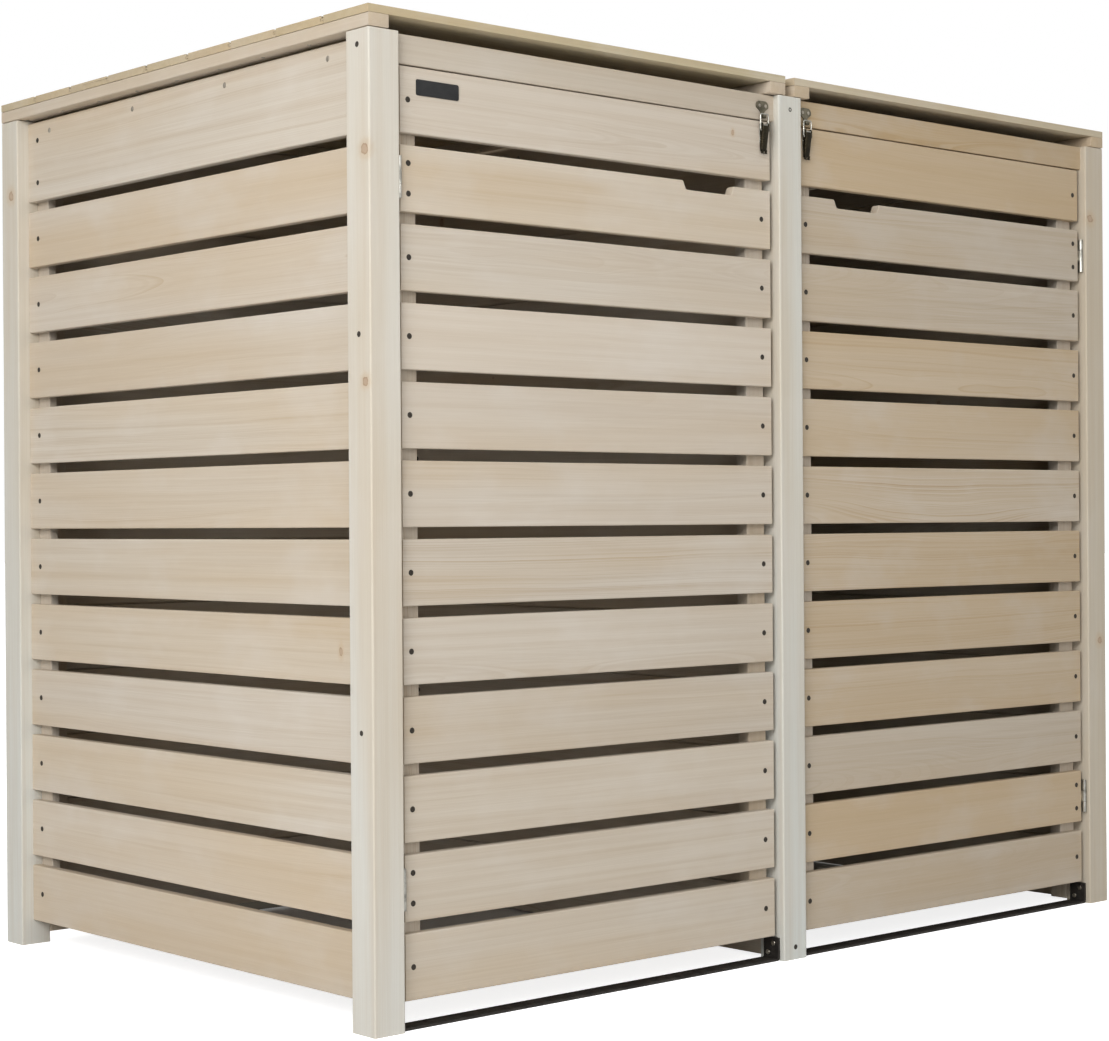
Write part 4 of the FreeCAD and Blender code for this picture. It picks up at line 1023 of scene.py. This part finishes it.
def make_floor():
    """A pale floor that keeps the store's shadow, and fades to plain white away from it.

    Deep inside the store, further in than the light under its doors and walls reaches, it loses its white
    glow and stays as dark as its own shading. A painted shadow darkens its colour along the foot of the back
    wall and for a hand's width behind it, where the lowest gap shows the floor.
    """
    extent, shadow_end, plain_start = 60.0, 0.9, 2.6
    dark_start, dark_full, beside, behind_start, behind_end, under_back = 0.18, 0.3, 0.03, 0.04, 0.12, 0.03
    mesh = bpy.data.meshes.new("floor")
    mesh.from_pydata([(*corner, 0) for corner in rectangle(extent, extent)], [], [(0, 1, 2, 3)])
    floor = add_object("floor", mesh)
    material, graph, surface = new_material("studio floor", (1, 1, 1, 1))
    surface["Roughness"].default_value = 0.9
    surface["Specular IOR Level"].default_value = 0
    place = graph.node("ShaderNodeTexCoord").outputs["Object"]
    distance = graph.vector("LENGTH", place)
    white = graph.range(distance, shadow_end, plain_start, FLOOR_WHITE, 1.0, smooth=True)
    across, along, up = graph.split(place)
    half_width, half_depth = (cad_box[1][X] - cad_box[0][X]) / 2, (cad_box[1][Y] - cad_box[0][Y]) / 2
    depth = graph.math("MINIMUM", graph.plus(half_width, across), graph.plus(half_depth, along))
    dark = graph.range(depth, dark_start, dark_full)
    for way, start, end in ((across, half_width, half_width + beside),
                            (along, half_depth + behind_start, half_depth + behind_end)):
        dark = graph.times(dark, graph.range(way, start, end, 1.0, 0.0, smooth=True))
    white = graph.times(white, graph.math("SUBTRACT", 1.0, dark))
    # painted shadow: along the foot of the back wall and behind it, the floor's colour is darkened
    behind = graph.times(dark, graph.math("GREATER_THAN", along, half_depth - under_back))
    graph.feed(surface["Base Color"], graph.mix(behind, (0.8, 0.8, 0.8, 1), (0.12, 0.11, 0.09, 1)))
    seen = graph.node("ShaderNodeLightPath").outputs["Is Camera Ray"]
    surface["Emission Color"].default_value = (1, 1, 1, 1)
    graph.feed(surface["Emission Strength"], graph.times(seen, white))
    mesh.materials.append(material)


def make_lamps():
    middle = (0, 0, 0.6)
    make_lamp("left", (-3.9, -2.3, 2.2), middle, (2.0, 1.8), 132)
    make_lamp("front", (-1.2, -5.6, 2.4), middle, (3.0, 2.4), 60)
    make_lamp("low", (-0.1, -0.85, 0.05), (-0.1, -0.43, 1.19), (1.5, 0.15), 0.3, spread=60)
    make_lamp("behind", (0.8, 5.5, 3.2), middle, (4.0, 2.6), 80)
    make_lamp("above", (0, -0.6, 5.2), middle, (3.0, 3.0), 48)


# The whole store

def plate_bare_nodes(material):
    """The hinges' leaves and the latches' pins keep the shapes of their CAD nodes."""
    for name, node in frame["nodes"].items():
        if "hinge" in name and "leaves" in name or name.endswith("latch_pin"):
            for slot in node.material_slots:
                slot.material = material


bpy.context.scene.view_settings.view_transform = "Standard"
make_camera()
make_surround()
make_floor()
make_lamps()

spruce_tree = spruce_group(branch_group())
metal_tree = worn_metal_group()
post_spruce = spruce_material("post spruce", spruce_tree, (211, 214, 209), (188, 176, 158), 3.4 * MM, 0.5)
slat_spruce = spruce_material("slat spruce", spruce_tree, (203, 194, 180), (168, 146, 118), 3.0 * MM, 0.65)
lid_wood = spruce_material("lid spruce", spruce_tree, (188, 177, 148), (156, 134, 98), 3.2 * MM, 0.6)
zinc = metal_material("zinc plate", metal_tree, (188, 186, 178), (140, 138, 130), 1.0, 0.22, 0.42)
dull_zinc = metal_material("dull zinc", metal_tree, (176, 169, 156), (132, 124, 112), 1.0, 0.25, 0.42)
nickel = metal_material("dull nickel", metal_tree, (116, 110, 94), (82, 78, 65), 1.0, 0.24, 0.4)
# a dark brown metal for the levers
dark_lever_metal = metal_material("dark lever metal", metal_tree, (58, 52, 39), (38, 34, 26), 0.9, 0.2, 0.34)
bar_steel = metal_material("mill scaled bar", metal_tree, (62, 58, 54), (40, 37, 34), 0.6, 0.4, 0.6, 40.0)
# painted shade: the frame's and doors' screw heads are dark brown, standing in for the shadow in their sunk
# holes
hole_shade_steel = metal_material("screw hole shade", metal_tree, (52, 44, 34), (34, 29, 23), 0.2, 0.45, 0.65, 300.0)
black_plate = metal_material("black plate", metal_tree, (19, 19, 20), (15, 15, 16), 0.0, 0.6, 0.75, 60.0)

make_posts(post_spruce)
make_boards(slat_spruce, lid_wood)
# the frame's and doors' screw heads carry the painted hole shade
make_screws("frame_screws", hole_shade_steel)
make_screws("zinc_screws", dull_zinc)
for word in ("left", "right"):
    make_screws(f"{word}_door_screws", hole_shade_steel)
    make_screws(f"{word}_lid_screws", zinc)
    make_latch_base(word, zinc)
    make_lever(word, dark_lever_metal)
    make_bail(word, zinc)
make_keepers(nickel)
make_pins("door_hinge_pins", zinc)
make_pins("lid_hinge_pins", zinc)
make_threshold_bars(bar_steel)
make_blank_plate(black_plate)
plate_bare_nodes(zinc)
